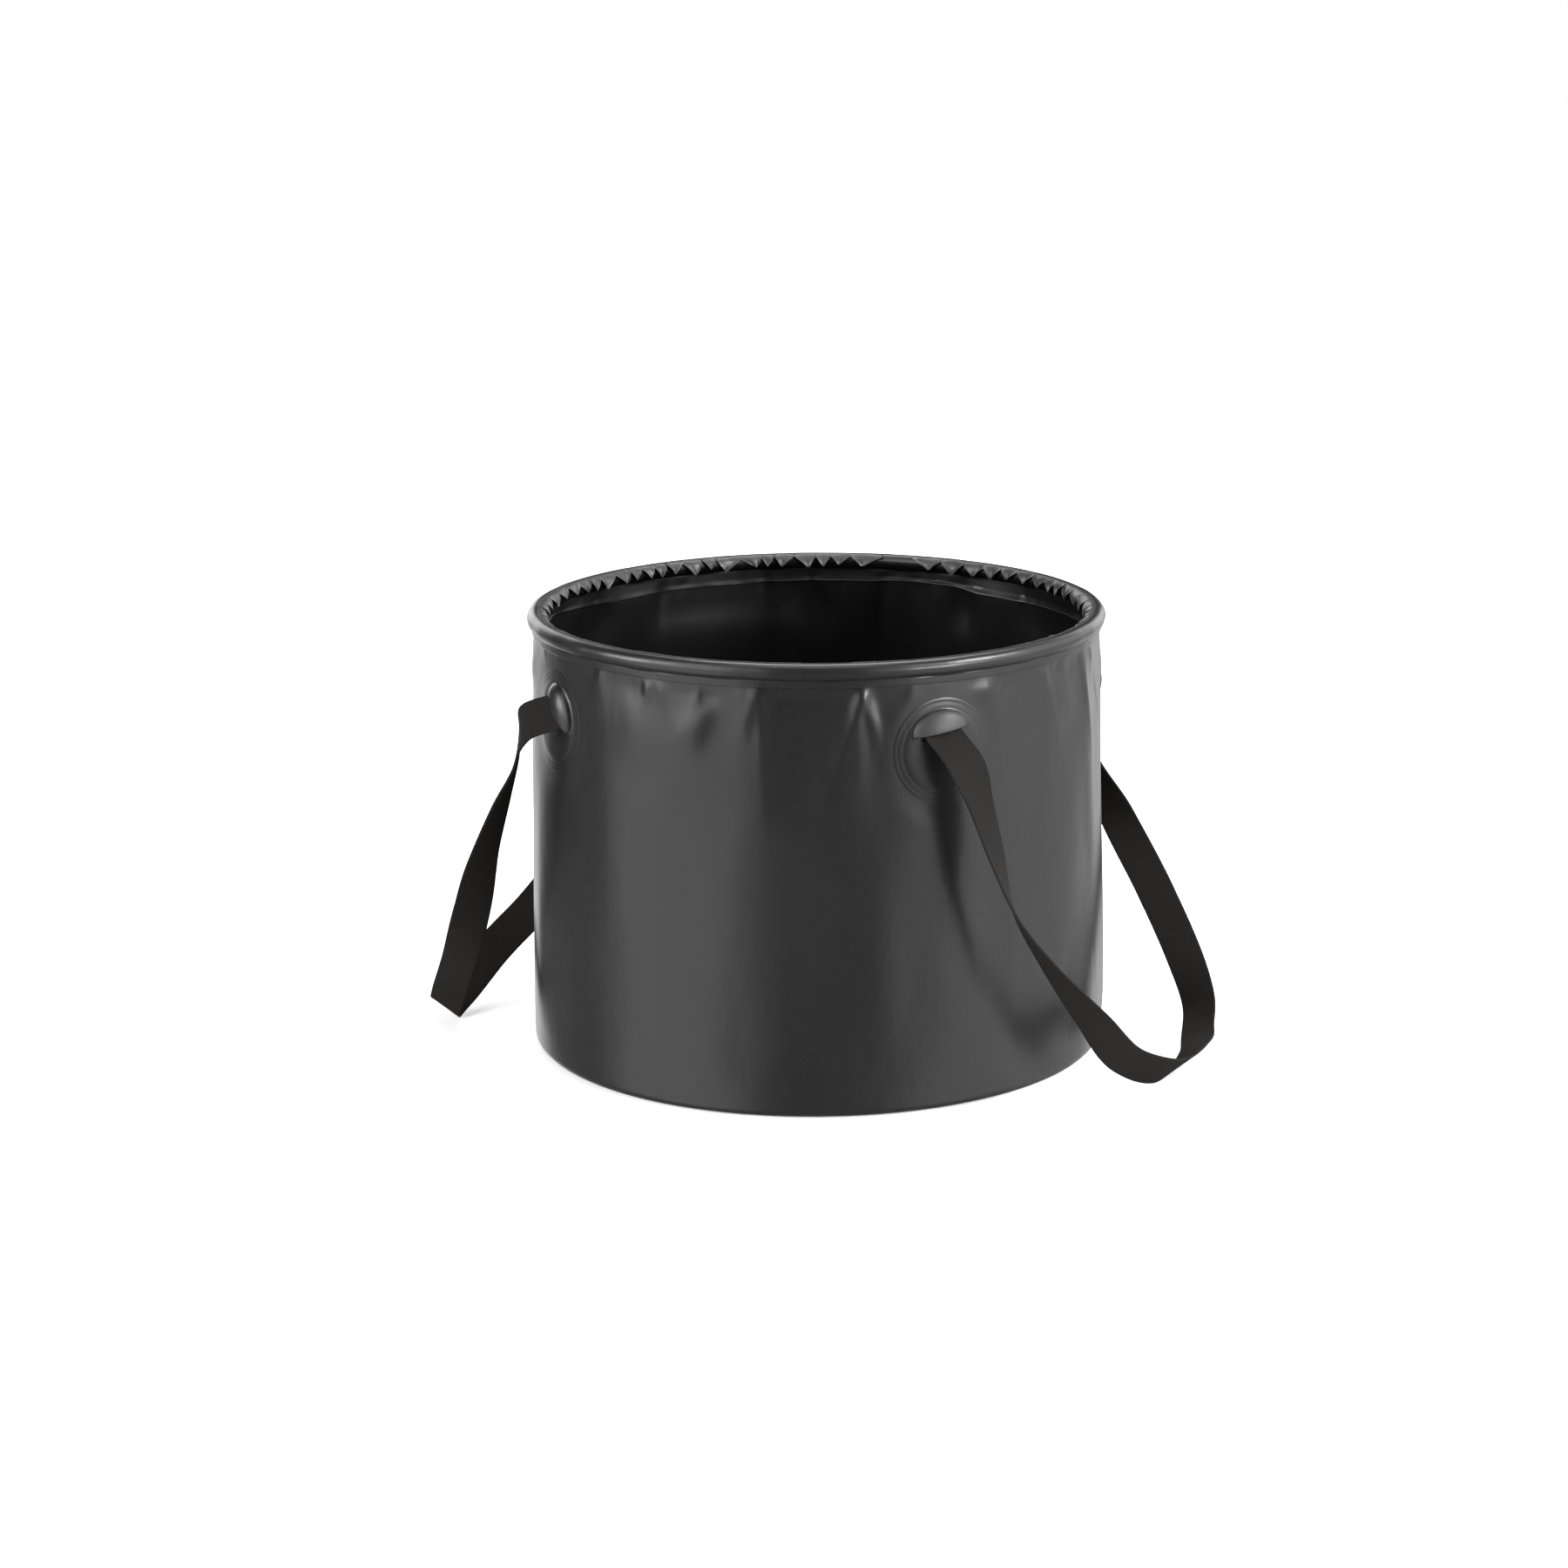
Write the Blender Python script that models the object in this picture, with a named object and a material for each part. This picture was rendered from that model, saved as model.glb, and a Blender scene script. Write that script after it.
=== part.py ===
"""Folding camp bucket.

A tube of coated sheet hangs from a stiffening hoop that sits in a rolled hem.
Its lower edge turns in under a round base panel. Two webbing handles leave the
wall through moulded hoods, two to a handle, and hang down to the floor.

Metres, +Z up. The origin is the middle of the base, on the floor. +X runs
through the middle of the right handle and -Y is the front.
"""

import math
from dataclasses import dataclass

import bmesh
import bpy
import numpy as np
from mathutils import Matrix

MM = 0.001

# Sheet, hoop and clearances
SHEET = 0.8 * MM            # the coated sheet of the wall, the hem and the patches
BASE_SHEET = 1.0 * MM       # the heavier sheet of the base
FIT = 0.3 * MM              # between pieces that are welded or that run past each other
HOOP_WIRE = 3.4 * MM        # radius of the hoop's rod

# The bucket
RIM_RADIUS = 153 * MM       # to the outside of the rolled rim
BUCKET_HEIGHT = 234 * MM    # floor to the top of the rim
HEM_OUTSIDE = 12.5 * MM     # rim's top to the lower edge of the hem, outside
HEM_INSIDE = 15.5 * MM      # and inside
WELD_INSET = 1.6 * MM       # the wall's top edge stops this far under the hoop
WALL_SWELL = 3.6 * MM       # how far the wall swells beyond its radius at the rim
SWELL_HEIGHT = 55 * MM      # height at which it is widest
BASE_CORNER = 5 * MM        # outside radius of the bend at the foot of the wall
FLANGE = 18 * MM            # width of the turned-in edge
LAP_WIDTH = 18 * MM         # the wall's own overlap, at the back
LAP_AZIMUTH = 90.0
LAP_FOOT = 12 * MM          # height at which the overlap starts

# The fittings, where the handles join the wall
FITTING_DROP = 47 * MM      # rim's top to the middle of the round patches
PATCH_RADIUS = 26.8 * MM
HOOD_RADIUS = 22.3 * MM     # the smaller round patch that carries the hood
HOOD_SHEET = 1.0 * MM
DOME_WIDTH = 30 * MM        # across the hood's mouth, outside
DOME_LENGTH = 13 * MM       # mouth to closed end
DOME_RISE = 5 * MM          # above its patch
DOME_SKIN = 1.0 * MM        # over the mouth
DOME_CHEEK = 1.8 * MM       # at its two feet
MOUTH_UP = 8.5 * MM         # from the middle of the patch to the mouth
POCKET_SIDE = 0.6 * MM      # beside the webbing, each side
POCKET_ROOM = 0.9 * MM      # over the webbing

# The webbing
STRAP_WIDTH = 20 * MM
STRAP_THICKNESS = 1.3 * MM
TAIL_DEPTH = 6 * MM         # how far the webbing goes in behind the mouth
MOUTH_LIFT = 3.7 * MM       # middle of the webbing over the wall, at the mouth
HINGE_GAP = 0.8 * MM        # between a handle's round-cut end and its tail, for the swing
TAIL_BEND = 0.6             # share of its depth at which a tail starts to rise to the mouth
TAIL_LIFT = 0.05            # share of its thickness that it has risen by there
SLANT_LIMIT = 0.5           # least sine between the webbing's run and the line across it

# How finely things are divided
ROUND_STEPS = 64            # once round the bucket
WALL_STEPS = 6              # up the wall
BEND_STEPS = 4              # round the bend at its foot
LAP_COLUMNS = 4             # across the overlap
ROLL_STEPS = 11             # round the outside of the hem's roll
SLEEVE_STEPS = 8            # and round the inside of it
HOOP_SIDES = 8
PATCH_SIDES = 32
PATCH_STRIP = 7.5 * MM      # width of the strips that roll a patch onto the wall
DOME_SIDES = 24
DOME_RINGS = 12
COLUMNS = 5                 # points across the webbing
TAIL_STEPS = 7              # along a tail
LEAD_STEPS = 3              # from a handle's round cut to its first even row
DENSE = 30                  # points of the fine route between two of its bends
ROW_STEPS = 7.5             # of those points from one row of a handle to the next
HALVINGS = 30               # of the span in which a round cut is found
WELD = 0.01 * MM            # points closer than this are one point

# What follows from those sizes
roll_radius = HOOP_WIRE + FIT + SHEET
hoop_radius = RIM_RADIUS - roll_radius
hoop_z = BUCKET_HEIGHT - roll_radius
wall_top_z = hoop_z - HOOP_WIRE - WELD_INSET
wall_top_radius = hoop_radius + SHEET
fitting_z = BUCKET_HEIGHT - FITTING_DROP
patch_top = FIT + SHEET
hood_low = patch_top + FIT
hood_top = hood_low + HOOD_SHEET


def wall_radius(z):
    """Outside radius of the wall at a height: a shallow parabola, widest low down."""
    share = (z - SWELL_HEIGHT) / (wall_top_z - SWELL_HEIGHT)
    return wall_top_radius + WALL_SWELL * (1.0 - share * share)


@dataclass(frozen=True)
class Fitting:
    """One place where a handle joins the wall."""

    name: str
    azimuth: float      # degrees round the bucket, from +X towards +Y
    inward: int         # the way round to the middle of its handle, +1 or -1
    lean: float         # degrees that the hood leans away from that middle
    cut_radius: float   # of the handle's end, about its hinge line

    def on_wall(self, across, up, height):
        """A point given flat on the patch, rolled onto the wall."""
        angle = math.radians(self.azimuth) + self.inward * across / wall_radius(fitting_z)
        z = fitting_z + up
        radius = wall_radius(z) + height
        return np.array([radius * math.cos(angle), radius * math.sin(angle), z])

    def on_hood(self, across, up, height):
        """The same for a point given along and across the leaning hood."""
        turn = math.radians(self.lean)
        flat_across = across * math.cos(turn) - up * math.sin(turn)
        flat_up = across * math.sin(turn) + up * math.cos(turn)
        return self.on_wall(flat_across, flat_up, height)


@dataclass(frozen=True)
class Handle:
    """One webbing handle, hung between a front and a rear fitting.

    Each bend of the route is a row: millimetres out from the hinge line, share
    of the way from the middle to the ends, share of the hinge's height up to
    the lower edge, and the direction across the webbing.
    """

    name: str
    side: int                   # +1 for +X, -1 for -X
    front: Fitting
    rear: Fitting
    hinge_drop: float           # hinge line below the middle of the patches
    hinge_turn: float           # degrees round from the fittings to the line's ends
    standoff: float             # of the line's ends from the wall
    front_across: tuple         # across the webbing at the two ends of the line
    rear_across: tuple
    bends: tuple

    def hinge(self):
        """Where the hinge line crosses the X-Z plane, and half its span."""
        z = fitting_z - self.hinge_drop
        radius = wall_radius(z) + self.standoff
        spread = abs(self.front.azimuth)
        if self.side < 0:
            spread = 180.0 - spread
        angle = math.radians(spread - self.hinge_turn)
        return self.side * radius * math.cos(angle), z, radius * math.sin(angle)


FRONT_RIGHT = Fitting("front_right", -45.0, 1, 12.0, 8.8 * MM)
REAR_RIGHT = Fitting("rear_right", 45.0, -1, 12.0, 8.8 * MM)
FRONT_LEFT = Fitting("front_left", -132.5, -1, 46.0, 9.3 * MM)
REAR_LEFT = Fitting("rear_left", 132.5, 1, 20.0, 10.0 * MM)

RIGHT = Handle(
    name="right",
    side=1,
    front=FRONT_RIGHT,
    rear=REAR_RIGHT,
    hinge_drop=3 * MM,
    hinge_turn=1.2,
    standoff=17 * MM,
    front_across=(0.72, 0.69, 0.05),
    rear_across=(-0.71, 0.71, -0.05),
    bends=(
        (6.8, -0.984, 0.893, (0.35, 0.93, -0.06)),
        (15.8, -0.973, 0.738, (0.02, 1.00, -0.03)),
        (25.8, -0.981, 0.583, (-0.41, 0.91, -0.08)),
        (39.8, -0.853, 0.401, (-0.59, 0.74, -0.32)),
        (55.8, -0.706, 0.233, (-0.77, 0.37, -0.52)),
        (67.8, -0.473, 0.064, (-0.71, 0.04, -0.70)),
        (82.8, -0.310, 0.011, (-0.73, -0.05, -0.69)),
        (85.8, 0.078, 0.017, (-0.86, 0.03, -0.51)),
        (77.8, 0.388, 0.013, (-0.89, 0.04, -0.45)),
        (70.8, 0.611, 0.065, (-0.92, 0.14, -0.36)),
        (58.8, 0.732, 0.179, (-0.97, -0.14, -0.20)),
        (38.8, 0.818, 0.367, (-0.98, -0.20, -0.05)),
        (12.8, 0.922, 0.571, (-1.00, 0.03, -0.09)),
        (-1.7, 0.922, 0.798, (-0.84, 0.54, -0.11)),
    ),
)

LEFT = Handle(
    name="left",
    side=-1,
    front=FRONT_LEFT,
    rear=REAR_LEFT,
    hinge_drop=1 * MM,
    hinge_turn=2.5,
    standoff=16.5 * MM,
    front_across=(-0.52, 0.48, 0.70),
    rear_across=(0.72, 0.68, -0.10),
    bends=(
        (6.0, -0.949, 0.924, (-0.38, 0.83, 0.42)),
        (10.0, -0.923, 0.860, (-0.25, 0.94, 0.20)),
        (20.0, -0.880, 0.734, (-0.03, 0.98, -0.15)),
        (32.0, -0.829, 0.573, (0.33, 0.93, -0.15)),
        (47.0, -0.700, 0.380, (0.66, 0.60, -0.32)),
        (64.0, -0.564, 0.177, (0.85, 0.10, -0.50)),
        (76.0, -0.487, 0.043, (0.86, 0.05, -0.51)),
        (80.0, -0.436, 0.007, (0.86, 0.01, -0.50)),
        (79.0, -0.402, 0.018, (0.86, 0.03, -0.52)),
        (76.0, -0.325, 0.046, (0.84, 0.05, -0.54)),
        (69.0, -0.103, 0.133, (0.84, 0.12, -0.53)),
        (55.0, 0.103, 0.245, (0.89, 0.14, -0.44)),
        (43.0, 0.385, 0.393, (0.91, 0.28, -0.30)),
        (28.0, 0.684, 0.633, (0.86, 0.47, -0.22)),
        (11.0, 0.906, 0.854, (0.77, 0.63, -0.11)),
    ),
)


def clear_scene():
    """Remove whatever the file holds."""
    for old in list(bpy.data.objects):
        bpy.data.objects.remove(old, do_unlink=True)


def make_material(name, colour, roughness):
    """A plain Principled material."""
    material = bpy.data.materials.new(name)
    material.use_nodes = True
    shader = material.node_tree.nodes["Principled BSDF"]
    shader.inputs["Base Color"].default_value = (*colour, 1.0)
    shader.inputs["Roughness"].default_value = roughness
    shader.inputs["Metallic"].default_value = 0.0
    return material


def add_object(name, shape, material, crease=35.0, origin=(0.0, 0.0, 0.0)):
    """Turn a bmesh into a named object, smooth up to the crease angle."""
    bmesh.ops.recalc_face_normals(shape, faces=shape.faces)
    if shape.calc_volume(signed=True) < 0.0:
        bmesh.ops.reverse_faces(shape, faces=shape.faces)
    mesh = bpy.data.meshes.new(name)
    shape.to_mesh(mesh)
    shape.free()
    mesh.transform(Matrix.Translation([-value for value in origin]))
    mesh.materials.append(material)
    mesh.shade_smooth()
    mesh.set_sharp_from_angle(angle=math.radians(crease))
    piece = bpy.data.objects.new(name, mesh)
    piece.location = origin
    bpy.context.scene.collection.objects.link(piece)
    return piece


def arc(centre, radius, start, end, steps):
    """Points of an arc in the (radius, height) plane, angles in degrees."""
    points = []
    for step in range(steps + 1):
        angle = math.radians(start + (end - start) * step / steps)
        points.append((centre[0] + radius * math.cos(angle), centre[1] + radius * math.sin(angle)))
    return points


def turned(profile, closed=True):
    """Spin an outline in the (radius, height) plane once round the Z axis."""
    shape = bmesh.new()
    corners = [shape.verts.new((radius, 0.0, height)) for radius, height in profile]
    edges = [shape.edges.new(pair) for pair in zip(corners, corners[1:])]
    if closed:
        edges.append(shape.edges.new((corners[-1], corners[0])))
    bmesh.ops.spin(
        shape,
        geom=corners + edges,
        cent=(0.0, 0.0, 0.0),
        axis=(0.0, 0.0, 1.0),
        angle=math.tau,
        steps=ROUND_STEPS,
        use_merge=True,
    )
    bmesh.ops.remove_doubles(shape, verts=shape.verts, dist=WELD)
    return shape


def apply_booleans(piece):
    """Bake an object's modifiers into a fresh bmesh and remove the object."""
    bpy.context.view_layer.update()
    evaluated = piece.evaluated_get(bpy.context.evaluated_depsgraph_get())
    shape = bmesh.new()
    shape.from_mesh(evaluated.to_mesh())
    evaluated.to_mesh_clear()
    for modifier in list(piece.modifiers):
        tool = modifier.object
        bpy.data.objects.remove(tool, do_unlink=True)
    bpy.data.objects.remove(piece, do_unlink=True)
    bmesh.ops.remove_doubles(shape, verts=shape.verts, dist=WELD / 5)
    bmesh.ops.dissolve_degenerate(shape, edges=shape.edges, dist=WELD / 5)
    return shape


def add_boolean(piece, tool, operation):
    """Join or cut one object with another, which is kept out of sight."""
    tool.hide_render = True
    tool.display_type = "WIRE"
    modifier = piece.modifiers.new(operation.lower(), "BOOLEAN")
    modifier.operation = operation
    modifier.solver = "EXACT"
    modifier.object = tool


def wall_levels():
    """Heights at which the wall's outline has a point, top first."""
    drop = (wall_top_z - BASE_CORNER) / WALL_STEPS
    return [wall_top_z - drop * step for step in range(WALL_STEPS + 1)]


def make_side_wall(material):
    """The wall tube with its bend, its turned-in edge and the lap weld at the back."""
    levels = wall_levels()
    bend = (wall_radius(BASE_CORNER) - BASE_CORNER, BASE_CORNER)
    edge = bend[0] - FLANGE
    outside = [(wall_radius(z), z) for z in levels[:-1]]
    outside += arc(bend, BASE_CORNER, 0.0, -90.0, BEND_STEPS)
    inside = [(edge, 0.0), (edge, SHEET)]
    inside += arc(bend, BASE_CORNER - SHEET, -90.0, 0.0, BEND_STEPS)
    inside += [(wall_radius(z) - SHEET, z) for z in reversed(levels[:-1])]
    wall = add_object("side_wall", turned(outside + inside), material)
    lap = add_object("lap", make_lap(), material)
    add_boolean(wall, lap, "UNION")
    shape = apply_booleans(wall)
    return add_object("side_wall", shape, material)


def make_lap():
    """The strip where the wall's sheet overlaps itself, sunk half a sheet into the wall."""
    top = BUCKET_HEIGHT - HEM_OUTSIDE - FIT - SHEET
    shape = bmesh.new()
    grid = []
    for side_height in (-SHEET / 2, SHEET):
        layer = []
        for row in range(WALL_STEPS + 1):
            z = LAP_FOOT + (top - LAP_FOOT) * row / WALL_STEPS
            radius = wall_radius(z)
            line = []
            for column in range(LAP_COLUMNS + 1):
                offset = LAP_WIDTH * (column / LAP_COLUMNS - 0.5)
                angle = math.radians(LAP_AZIMUTH) + offset / radius
                reach = radius + side_height
                line.append(shape.verts.new((reach * math.cos(angle), reach * math.sin(angle), z)))
            layer.append(line)
        grid.append(layer)
    close_grid(shape, grid)
    return shape


def close_grid(shape, grid):
    """Skin two matching layers of points, and the four sides between them."""
    low, high = grid
    rows = len(low) - 1
    columns = len(low[0]) - 1
    for row in range(rows):
        for column in range(columns):
            for layer in (low, high):
                shape.faces.new((
                    layer[row][column],
                    layer[row][column + 1],
                    layer[row + 1][column + 1],
                    layer[row + 1][column],
                ))
        for column in (0, columns):
            shape.faces.new((
                low[row][column],
                low[row + 1][column],
                high[row + 1][column],
                high[row][column],
            ))
    for row in (0, rows):
        for column in range(columns):
            shape.faces.new((
                low[row][column],
                low[row][column + 1],
                high[row][column + 1],
                high[row][column],
            ))


def make_base_panel(material):
    """The base sheet: flat on the floor in the middle, stepped up over the turned-in edge."""
    outer = wall_radius(BASE_CORNER) - BASE_CORNER
    over = SHEET + FIT
    step_high = outer - FLANGE - FIT
    step_low = step_high - 2 * over
    under = [(0.0, 0.0), (step_low, 0.0), (step_high, over), (outer, over)]
    above = [(radius, height + BASE_SHEET) for radius, height in reversed(under)]
    return add_object("base_panel", turned(under + above, closed=False), material, crease=20.0)


def make_rim_hoop(material):
    """The stiffening rod."""
    profile = arc((hoop_radius, hoop_z), HOOP_WIRE, 0.0, 360.0, HOOP_SIDES)[:-1]
    return add_object("rim_hoop", turned(profile), material, crease=60.0)


def make_rim_hem(material):
    """The strip folded over the hoop, with a leaf down each face of the wall."""
    centre = (hoop_radius, hoop_z)
    sleeve = HOOP_WIRE + FIT
    leaf_out = wall_top_radius + FIT
    leaf_in = wall_top_radius - SHEET - FIT
    low_out = BUCKET_HEIGHT - HEM_OUTSIDE
    low_in = BUCKET_HEIGHT - HEM_INSIDE

    def angle_at(radius, reach):
        return -math.degrees(math.acos((radius - hoop_radius) / reach))

    over = arc(
        centre,
        roll_radius,
        angle_at(leaf_out + SHEET, roll_radius),
        360.0 + angle_at(leaf_in - SHEET, roll_radius),
        ROLL_STEPS,
    )
    under = arc(
        centre,
        sleeve,
        360.0 + angle_at(leaf_in, sleeve),
        angle_at(leaf_out, sleeve),
        SLEEVE_STEPS,
    )
    profile = [(leaf_out + SHEET, low_out)] + over + [(leaf_in - SHEET, low_in)]
    profile += [(leaf_in, low_in)] + under + [(leaf_out, low_out)]
    return add_object("rim_hem", turned(profile), material, crease=40.0)


def wrap_onto_wall(shape, fitting):
    """Cut a flat shape into upright strips, then roll it onto the wall."""
    strips = int(PATCH_RADIUS // PATCH_STRIP)
    for strip in range(-strips, strips + 1):
        bmesh.ops.bisect_plane(
            shape,
            geom=shape.verts[:] + shape.edges[:] + shape.faces[:],
            plane_co=(strip * PATCH_STRIP, 0.0, 0.0),
            plane_no=(1.0, 0.0, 0.0),
            dist=WELD,
        )
    bmesh.ops.triangulate(shape, faces=shape.faces)
    for point in shape.verts:
        point.co = fitting.on_wall(*point.co)
    return shape


def flat_disc(radius, low, high):
    """A round sheet between two heights."""
    shape = bmesh.new()
    bmesh.ops.create_cone(
        shape,
        cap_ends=True,
        segments=PATCH_SIDES,
        radius1=radius,
        radius2=radius,
        depth=high - low,
        matrix=Matrix.Translation((0.0, 0.0, (low + high) / 2)),
    )
    return shape


def half_dome(width, length, rise, floor):
    """A quarter of an ellipsoid: closed behind, cut off flat at the mouth and the floor."""
    shape = bmesh.new()
    place = Matrix.Translation((0.0, MOUTH_UP, floor)) @ Matrix.Diagonal((width / 2, length, rise, 1.0))
    bmesh.ops.create_uvsphere(shape, u_segments=DOME_SIDES, v_segments=DOME_RINGS, radius=1.0, matrix=place)
    for point, normal in (((0.0, MOUTH_UP, 0.0), (0.0, -1.0, 0.0)), ((0.0, 0.0, floor), (0.0, 0.0, -1.0))):
        cut = bmesh.ops.bisect_plane(
            shape,
            geom=shape.verts[:] + shape.edges[:] + shape.faces[:],
            plane_co=point,
            plane_no=normal,
            dist=WELD,
            clear_outer=True,
        )
        rim = [item for item in cut["geom_cut"] if isinstance(item, bmesh.types.BMEdge)]
        bmesh.ops.holes_fill(shape, edges=rim, sides=0)
    return shape


def pocket_wedge():
    """The room for the webbing's end: open below and at the mouth, its ceiling rising outward."""
    half = STRAP_WIDTH / 2 + POCKET_SIDE
    mouth = MOUTH_UP - FIT
    back = MOUTH_UP + TAIL_DEPTH + POCKET_SIDE
    floor = hood_low - SHEET
    low_ceiling = hood_low + STRAP_THICKNESS + POCKET_ROOM
    high_ceiling = MOUTH_LIFT + STRAP_THICKNESS / 2 + POCKET_ROOM
    outline = [(mouth, floor), (back, floor), (back, low_ceiling), (mouth, high_ceiling)]
    shape = bmesh.new()
    face = shape.faces.new([shape.verts.new((-half, along, height)) for along, height in outline])
    grown = bmesh.ops.extrude_face_region(shape, geom=[face])
    moved = [item for item in grown["geom"] if isinstance(item, bmesh.types.BMVert)]
    bmesh.ops.translate(shape, verts=moved, vec=(2 * half, 0.0, 0.0))
    return shape


def make_patch_base(fitting, material):
    """The larger round patch."""
    shape = wrap_onto_wall(flat_disc(PATCH_RADIUS, FIT, patch_top), fitting)
    return add_object(f"patch_base_{fitting.name}", shape, material)


def make_patch_hood(fitting, material):
    """The smaller patch with its hood, hollow inside and open at the mouth."""
    name = f"patch_hood_{fitting.name}"
    hood = add_object(name, flat_disc(HOOD_RADIUS, hood_low, hood_top), material)
    sunk = hood_top - HOOD_SHEET / 2
    dome = half_dome(DOME_WIDTH, DOME_LENGTH, DOME_RISE + HOOD_SHEET / 2, sunk)
    add_boolean(hood, add_object("dome", dome, material), "UNION")
    hollow = half_dome(
        DOME_WIDTH - 2 * DOME_CHEEK,
        DOME_LENGTH - DOME_CHEEK,
        DOME_RISE - DOME_SKIN,
        hood_top,
    )
    for point in hollow.verts:
        if abs(point.co.y - MOUTH_UP) < FIT:
            point.co.y -= FIT
    add_boolean(hood, add_object("hollow", hollow, material), "DIFFERENCE")
    add_boolean(hood, add_object("pocket", pocket_wedge(), material), "DIFFERENCE")
    shape = apply_booleans(hood)
    bmesh.ops.rotate(shape, verts=shape.verts, matrix=Matrix.Rotation(math.radians(fitting.lean), 3, "Z"))
    return add_object(name, wrap_onto_wall(shape, fitting), material, crease=30.0)


def tail_rows(fitting, sense):
    """The webbing inside the hood, from its end out to the mouth."""
    places = (
        (MOUTH_UP + TAIL_DEPTH, hood_low + STRAP_THICKNESS / 2),
        (MOUTH_UP + TAIL_BEND * TAIL_DEPTH, hood_low + (0.5 + TAIL_LIFT) * STRAP_THICKNESS),
        (MOUTH_UP, MOUTH_LIFT),
    )
    rows = []
    for up, height in places:
        point = fitting.on_hood(0.0, up, height)
        across = fitting.on_hood(MM, up, height) - fitting.on_hood(-MM, up, height)
        across = sense * across / np.linalg.norm(across)
        rows.append([*point, *across])
    return rows


def route_rows(handle):
    """All the rows of one handle's webbing, front end to rear end."""
    x, z, half_span = handle.hinge()
    rows = tail_rows(handle.front, 1)
    rows.append([x, -half_span, z, *handle.front_across])
    for out, along, up, across in handle.bends:
        across = np.array(across) / np.linalg.norm(across)
        height = up * z + STRAP_WIDTH / 2 * abs(across[2])
        rows.append([x + handle.side * out * MM, along * half_span, height, *across])
    rows.append([x, half_span, z, *handle.rear_across])
    rows += reversed(tail_rows(handle.rear, -1))
    return np.array(rows)


def smooth_rows(rows):
    """A centripetal Catmull-Rom curve through the rows, DENSE points to a span."""
    ends = [2 * rows[0] - rows[1]], [2 * rows[-1] - rows[-2]]
    knots = np.vstack([ends[0], rows, ends[1]])
    out = []
    for index in range(1, len(knots) - 2):
        p0, p1, p2, p3 = knots[index - 1:index + 3]
        t0 = 0.0
        t1 = t0 + np.linalg.norm((p1 - p0)[:3]) ** 0.5
        t2 = t1 + np.linalg.norm((p2 - p1)[:3]) ** 0.5
        t3 = t2 + np.linalg.norm((p3 - p2)[:3]) ** 0.5
        last = index == len(knots) - 3
        for step in range(DENSE + last):
            t = t1 + (t2 - t1) * step / DENSE
            a1 = (t1 - t) / (t1 - t0) * p0 + (t - t0) / (t1 - t0) * p1
            a2 = (t2 - t) / (t2 - t1) * p1 + (t - t1) / (t2 - t1) * p2
            a3 = (t3 - t) / (t3 - t2) * p2 + (t - t2) / (t3 - t2) * p3
            b1 = (t2 - t) / (t2 - t0) * a1 + (t - t0) / (t2 - t0) * a2
            b2 = (t3 - t) / (t3 - t1) * a2 + (t - t1) / (t3 - t1) * a3
            out.append((t2 - t) / (t2 - t1) * b1 + (t - t1) / (t2 - t1) * b2)
    return np.array(out)


class Webbing:
    """The webbing of one handle as a surface: a place along it, a share across it, a face."""

    def __init__(self, handle):
        rows = route_rows(handle)
        curve = smooth_rows(rows)
        self.middle = curve[:, :3]
        self.across = curve[:, 3:] / np.linalg.norm(curve[:, 3:], axis=1, keepdims=True)
        run = np.gradient(self.middle, axis=0)
        run /= np.linalg.norm(run, axis=1, keepdims=True)
        normal = np.cross(run, self.across)
        slant = np.linalg.norm(normal, axis=1, keepdims=True)
        self.reach = self.across * (STRAP_WIDTH / 2) / np.maximum(slant, SLANT_LIMIT)
        self.lift = normal / slant * (STRAP_THICKNESS / 2)
        self.hinge_x, self.hinge_z, self.half_span = handle.hinge()
        self.front_hinge = len(tail_rows(handle.front, 1)) * DENSE
        self.end = len(curve) - 1
        self.rear_hinge = self.end - self.front_hinge

    def point(self, place, share, face):
        """A point of the surface; place counts dense steps and may lie between two."""
        low = min(int(place), self.end - 1)
        blend = place - low
        found = np.zeros(3)
        for index, weight in ((low, 1.0 - blend), (low + 1, blend)):
            found += weight * (self.middle[index] + share * self.reach[index] + face * self.lift[index])
        return found

    def from_hinge(self, place, share, face):
        """Distance of such a point from the hinge line."""
        x, _, z = self.point(place, share, face)
        return math.hypot(x - self.hinge_x, z - self.hinge_z)

    def cut(self, hinge_place, heading, share, face, radius):
        """Where the surface leaves a round cut about the hinge line, on the tail's side."""
        near = far = float(hinge_place)
        while self.from_hinge(far, share, face) < radius:
            near = far
            far += heading
        for _ in range(HALVINGS):
            half = (near + far) / 2
            if self.from_hinge(half, share, face) < radius:
                near = half
            else:
                far = half
        return (near + far) / 2

    def solid(self, places):
        """Close a strip whose rows are given, as places, for each column and face."""
        shape = bmesh.new()
        grid = []
        for face in (-1, 1):
            columns = []
            for column in range(COLUMNS):
                share = 2 * column / (COLUMNS - 1) - 1
                line = [shape.verts.new(self.point(place, share, face)) for place in places(share, face)]
                columns.append(line)
            grid.append([list(row) for row in zip(*columns)])
        close_grid(shape, grid)
        bmesh.ops.triangulate(shape, faces=shape.faces)
        return shape


def make_strap_tail(webbing, fitting, rear, material):
    """The end of the webbing, from inside the hood to the round cut at the hinge line."""
    start = webbing.end if rear else 0
    hinge = webbing.rear_hinge if rear else webbing.front_hinge
    heading = 1 if rear else -1

    def places(share, face):
        cut = webbing.cut(hinge, heading, share, face, fitting.cut_radius + HINGE_GAP)
        return np.linspace(start, cut, TAIL_STEPS + 1)

    return add_object(f"strap_tail_{fitting.name}", webbing.solid(places), material, crease=50.0)


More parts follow.
